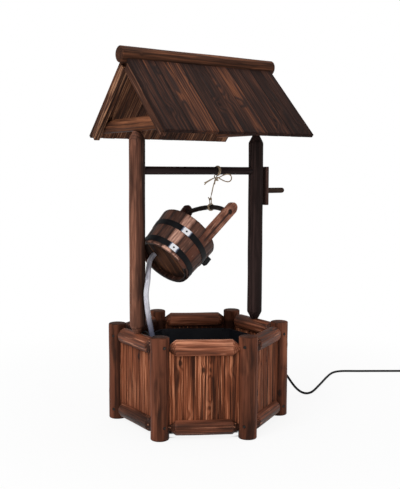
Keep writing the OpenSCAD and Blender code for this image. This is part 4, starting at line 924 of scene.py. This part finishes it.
# tones of the single staves, partly their own and partly painted shade on the side away from the light, and of their
# lower ends, a painted highlight where the light catches them and painted shade elsewhere, by side of the near ear and
# count from it
staveTones = {(-1, 0): 0.03, (-1, 1): 0.32, (-1, 2): -0.03, (-1, 3): 0.0, (1, 0): -0.02, (1, 1): -0.05, (1, 2): -0.15}
rimLightAndShade = {(-1, 0): 0.3, (-1, 1): 0.3, (-1, 2): 0.3, (-1, 3): 0.15}
staveLook = woodLook("bucket_stave", (26, 14, 11), (55, 33, 25), (92, 58, 45), (204, 156, 136), char=(22, 15, 14),
                     pitch=0.0036, wander=0.004, ring=0.06, blotch=0.35, coarse=0.25, streak=0.15, fibre=0.5,
                     pale=0.1, knot=(7, 7, 3), shine=0.22, rough=0.52, bump=0.25)
nearEarLook = woodLook("near_ear", (90, 50, 35), (136, 86, 66), (168, 114, 92), (216, 168, 142), inBucket,
                       char=(42, 20, 13), streak=0.3, wander=0.004, coarse=0.9, shine=0.26, check=(-0.14, 0.012),
                       lean=-5.0)
# the far ear is the ear's wood in painted shade: much darker colours than the near ear
farEarShadedLook = woodLook("far_ear_shaded", (40, 18, 14), (56, 28, 22), (72, 40, 32), (100, 62, 52), inBucket)
# the bottom board carries painted shade towards the side under the rim, and painted shade with dirt round its edge
bottomLook = woodLook("bucket_bottom", (32, 18, 11), (60, 36, 23), (94, 59, 40), (150, 100, 70),
                      inBucket @ turn(90, "Y"), streak=0.4, coarse=0.6, ring=0.1, blotch=1.3,
                      streakSize=(30, 30, 7), streakEdge=0.2, sooted=(0.0, 0.6, -0.8))


# A stave fills a wedge of the shell: the board's outline is bent round the bucket's axis, its outer face at the
# bucket's radius for the height, so that it widens towards the mouth.
def staveGrid(at, wide, seed, tone, rim):
    b = bucket
    rng = np.random.default_rng(seed)
    top = b["high"]
    z, draw = arrised(top, [0, 0.8, 2.2], [1.3, 0.4, 0], 14)
    r = (b["low"] + b["slope"] * z)[:, None]
    half = math.radians(wide / 2)
    loop = boardLoop(b["stave"], 2, 0.06, 5)
    loop[:, 1] = np.clip(loop[:, 1], -1, 1)
    corner = 1.1 * np.clip(1 - (1 - np.abs(loop[:, 1])) * half * 95 / 1.6, 0, 1)
    depth = loop[None, :, 0] * (1 - draw / (b["stave"] / 2)) - np.sign(loop[:, 0]) * corner
    out = r - b["stave"] / 2 + depth + 0.15 * np.sin(z[:, None] / 21 + rng.uniform(0, 6))
    a = math.radians(at) + loop[None, :, 1] * (half - 0.02 / r)
    points = polar(out, a, z[:, None] - b["holeH"] + 0 * a)
    own = np.stack([out - 60, (a - math.radians(at)) * r, z[:, None] + 0 * a], -1)
    away = rng.uniform((-10, -20, 0), (30, 20, 9000))
    joint = -0.48 * np.exp(-(1 - np.abs(loop[None, :, 1])) * half * r / 1.5)
    # the lower ends take their rim tone, a painted highlight on some staves and painted shade on the rest; the upper
    # ends are darker
    ends = (rim * np.exp(-z / 3) - 0.15 * np.exp(-(top - z) / 4))[:, None]
    return {"points": points, "grain": (own + away) * 0.001, "place": inBucket,
            "tone": 0 * a + tone + rng.uniform(-0.1, 0.1) + joint + ends}


# A hoop's strip: a thin rectangle with rounded edges carried round the bucket's cone
def stripGrid(low, high, inner, outer, angles, ring):
    b = bucket
    loop = boardLoop(outer - inner, high - low, min(0.5, (outer - inner) / 2.2), 1)
    a = np.radians(angles)[:, None]
    z = (low + high) / 2 + loop[None, :, 1] + 0 * a
    r = b["low"] + b["slope"] * z + (inner + outer) / 2 + loop[None, :, 0]
    points = polar(r, a, z - b["holeH"])
    return {"points": points, "grain": points * 0.001, "tone": 0 * z, "ring": ring, "place": inBucket}


# A lap is bright in its middle, a painted highlight over worn metal broken up by scuffs, and black towards its ends;
# the rivets are dark
def lapHighlightLook():
    look, m = newLook("lap_steel_highlight")
    tone = m.add("Attribute", attribute_name="tone")["Fac"]
    scuff = m.noise(m.add("TexCoord")["Object"], (160, 160, 160), 4.0, 0.6)
    share = m.fade(m.times(scuff, 0.5, m.calc("SUBTRACT", tone, 0.25)), 0.1, 0.75)
    colour = m.ramp(share, (0.0, (15, 15, 19)), (0.3, (58, 66, 88)), (0.6, (168, 174, 188)), (0.85, (240, 240, 244)))
    m.paint(colour, 0.3, m.bump(0.2, 0.0004, scuff), Metallic=0.25)
    return look


# The ears take a stave's width each, the other staves share what is left on either side of the near ear
def addStaves():
    b = bucket
    ear = 360 / b["staves"]
    count = b["staves"] // 2 - 1
    grids = []
    for side in (-1, 1):
        wide = (180 - side * b["farTurn"] - ear) / count
        for k in range(count):
            grids.append(staveGrid(-90 + side * (ear / 2 + wide * (k + 0.5)), wide, 500 + 20 * side + k,
                                   staveTones.get((side, k), 0.0), rimLightAndShade.get((side, k), -0.3)))
    addPiece("staves", grids, "bucket", staveLook, "bucket_wood", "bucket_staves", angle=45)


# A hoop is a strip all round, its lap a short strip over it with one domed rivet. The lap's tone is a bell over it, for
# its painted highlight.
def addHoops():
    b = bucket
    steel = plainLook("hoop_steel", tint=(6, 6, 9), worn=(22, 19, 20), rough=0.46, shine=0.13, scuff=80.0)
    bright = lapHighlightLook()
    outer = b["gap"] + b["hoopT"]
    for middle, name in b["hoops"]:
        low, high = middle - b["hoopW"] / 2, middle + b["hoopW"] / 2
        band = stripGrid(low, high, b["gap"], outer, np.linspace(0, 360, 120, endpoint=False), True)
        addPiece(f"hoop_{name}", band, "bucket", steel, "hoop_steel", f"bucket_hoop_{name}", angle=35)
        turns = b["lapAt"] + np.linspace(-b["lap"] / 2, b["lap"] / 2, 14)
        lap = stripGrid(low + 0.5, high - 0.5, outer - 0.3, outer + b["hoopT"], turns, False)
        lap["tone"] += np.exp(-(np.linspace(-1, 1, 14) / 0.85) ** 2)[:, None]
        rivet = logGrid(b["rivet"], 7, uneven=0, checks=0, knots=0, around=20, endTone=0, drift=0)
        r = b["low"] + b["slope"] * middle + outer + b["hoopT"] - 0.1
        rivet = placed(rivet, inBucket @ turn(b["lapAt"], "Z") @ shift(r, 0, middle - b["holeH"]) @ alongX)
        addPiece(f"hoop_lap_{name}", [lap, rivet], "bucket", bright, "hoop_steel", angle=35)


# The bail: a peeled rod along an arc, whose radius is the half span squared plus the rise squared over twice the rise,
# with a straight pin at each end that is drawn in to fit the ear's hole.
def addBail():
    b = bailFacts
    radius = (b["span"] ** 2 + b["rise"] ** 2) / (2 * b["rise"])
    half = math.asin(b["span"] / radius)
    t = np.linspace(-half, half, 61)
    y, z = radius * np.sin(t), b["rise"] - radius + radius * np.cos(t)
    reach = b["span"] + b["pin"] * np.array([0.25, 0.5, 0.75, 0.97, 1])
    y, z = np.concatenate([-reach[::-1], y, reach]), np.concatenate([np.zeros(5), z, np.zeros(5)])
    thick = b["radius"] + 0.25 * np.sin(y / 11) * np.sin(y / 4.3 + 1)
    thick = np.where(np.abs(y) > b["span"] - 6, b["pinR"], thick)
    thick[[0, -1]] = b["pinR"] - 0.8
    look = woodLook("bail_rod", (24, 18, 16), (36, 27, 25), (48, 36, 33), (72, 56, 50), rough=0.5)
    rod = tubeGrid(np.stack([0 * y, y, z], -1), thick, 24)
    addPiece("bail_rod", placed(rod, inBucket @ shift(*b["middle"]) @ turn(b["turn"], "Z")), "bucket", look,
             "black_wood", "bucket_bail", angle=50)


addStaves()
addHoops()
for look, name in ((nearEarLook, "ear_near"), (farEarShadedLook, "ear_far"), (bottomLook, "bottom")):
    repaint(look, "bucket_wood", f"bucket_{name}")
repaint(blackPlastic, "black_plastic", "pour_spout")
addBail()
print("bucket made")

# Basin, pump and grommet keep their CAD shapes
basinLook = plainLook("basin_plastic", tint=(20, 21, 26), worn=(32, 33, 39), rough=0.36, scuff=18.0, grainSize=1400.0)
repaint(basinLook, "basin_plastic", "basin")
repaint(blackPlastic, "black_plastic", "pump_body", "pump_strainer", "pump_impeller", "flow_knob")
repaint(blackRubber, "black_rubber", "pump_feet", "cord_grommet")
print("basin and pump finished")

# Floor, backdrop and light; the mask's steps are distances from the well's middle, in metres
stage = {"floorR": 14, "grey": 0.86, "share": 0.11, "plain": (0.55, 1.6), "wall": (0.175, 0.185),
         "corner": (0.208, 0.218), "post": (0.228, 0.236), "world": 0.46, "target": (0, 0, 0.5)}
lamps = {"key": ((-1.9, -2.4, 2.9), 1.8, 84.0), "fill": ((2.4, -2.6, 1.2), 2.4, 12.0),
         "top": ((0.3, 0.6, 3.4), 2.6, 30.0)}


# What the camera and the see-through hose see directly
def seenDirectly(m, *kinds):
    path = m.add("LightPath")
    seen = path["Is Camera Ray"]
    for kind in kinds:
        seen = m.calc("MAXIMUM", seen, path[f"Is {kind} Ray"])
    return seen


# The floor is white: near the well it takes shadow, further off it turns into the plain white that the camera sees.
# Inside the wall, and behind its corner posts, it is only as bright as the light that reaches it: the hexagon's
# distance is the largest of three, each a point's distance along the normal of two walls.
def addFloor():
    a = circle(64)
    mesh = bpy.data.meshes.new("floor")
    mesh.from_pydata(polar(stage["floorR"], a, 0 * a - 0.0002), [], [list(range(64))])
    floor = linked("floor", mesh)
    look, m = newLook("floor")
    m.tree.nodes.remove(m.tree.nodes["Principled BSDF"])
    spot = m.add("TexCoord")["Object"]
    away = m.vector("LENGTH", spot)
    share = m.times(seenDirectly(m, "Glossy", "Transmission"), m.fade(away, *stage["plain"], 1 - stage["share"], 1.0))
    walls = [m.calc("ABSOLUTE", m.vector("DOT_PRODUCT", spot, (math.cos(a), math.sin(a), 0)))
             for a in np.radians((30, 90, 150))]
    reach = m.calc("MAXIMUM", m.calc("MAXIMUM", walls[0], walls[1]), walls[2])
    corner = m.calc("MAXIMUM", m.fade(reach, *stage["corner"]), m.fade(away, *stage["post"], 1.0, 0.0))
    share = m.times(share, m.times(m.fade(reach, *stage["wall"]), corner))
    plain = m.add("BsdfDiffuse", {"Color": (stage["grey"],) * 3 + (1,)})[0]
    white = m.add("Emission", {"Color": (1, 1, 1, 1), "Strength": 1.0})[0]
    m.feed(m.tree.nodes["Material Output"], {"Surface": m.add("MixShader", {0: share, 1: plain, 2: white})[0]})
    mesh.materials.append(look)


def addLamps():
    target = Vector(stage["target"])
    for name, (spot, size, power) in lamps.items():
        data = bpy.data.lights.new(name, "AREA")
        data.shape, data.size, data.energy = "DISK", size, power
        aim = (target - Vector(spot)).to_track_quat("-Z", "Y").to_matrix().to_4x4()
        linked(name, data).matrix_world = Matrix.Translation(spot) @ aim


def addWorld():
    world = bpy.data.worlds.new("studio")
    bpy.context.scene.world = world
    world.use_nodes = True
    m = Nodes(world.node_tree)
    soft, white = (m.add("Background", {"Color": (1, 1, 1, 1), "Strength": strength})[0]
                   for strength in (stage["world"], 1.0))
    mix = m.add("MixShader", {0: seenDirectly(m, "Transmission"), 1: soft, 2: white})[0]
    m.feed(m.tree.nodes["World Output"], {"Surface": mix})


addFloor()
addLamps()
addWorld()
bpy.context.scene.view_settings.view_transform = "Standard"
print("stage and light made")
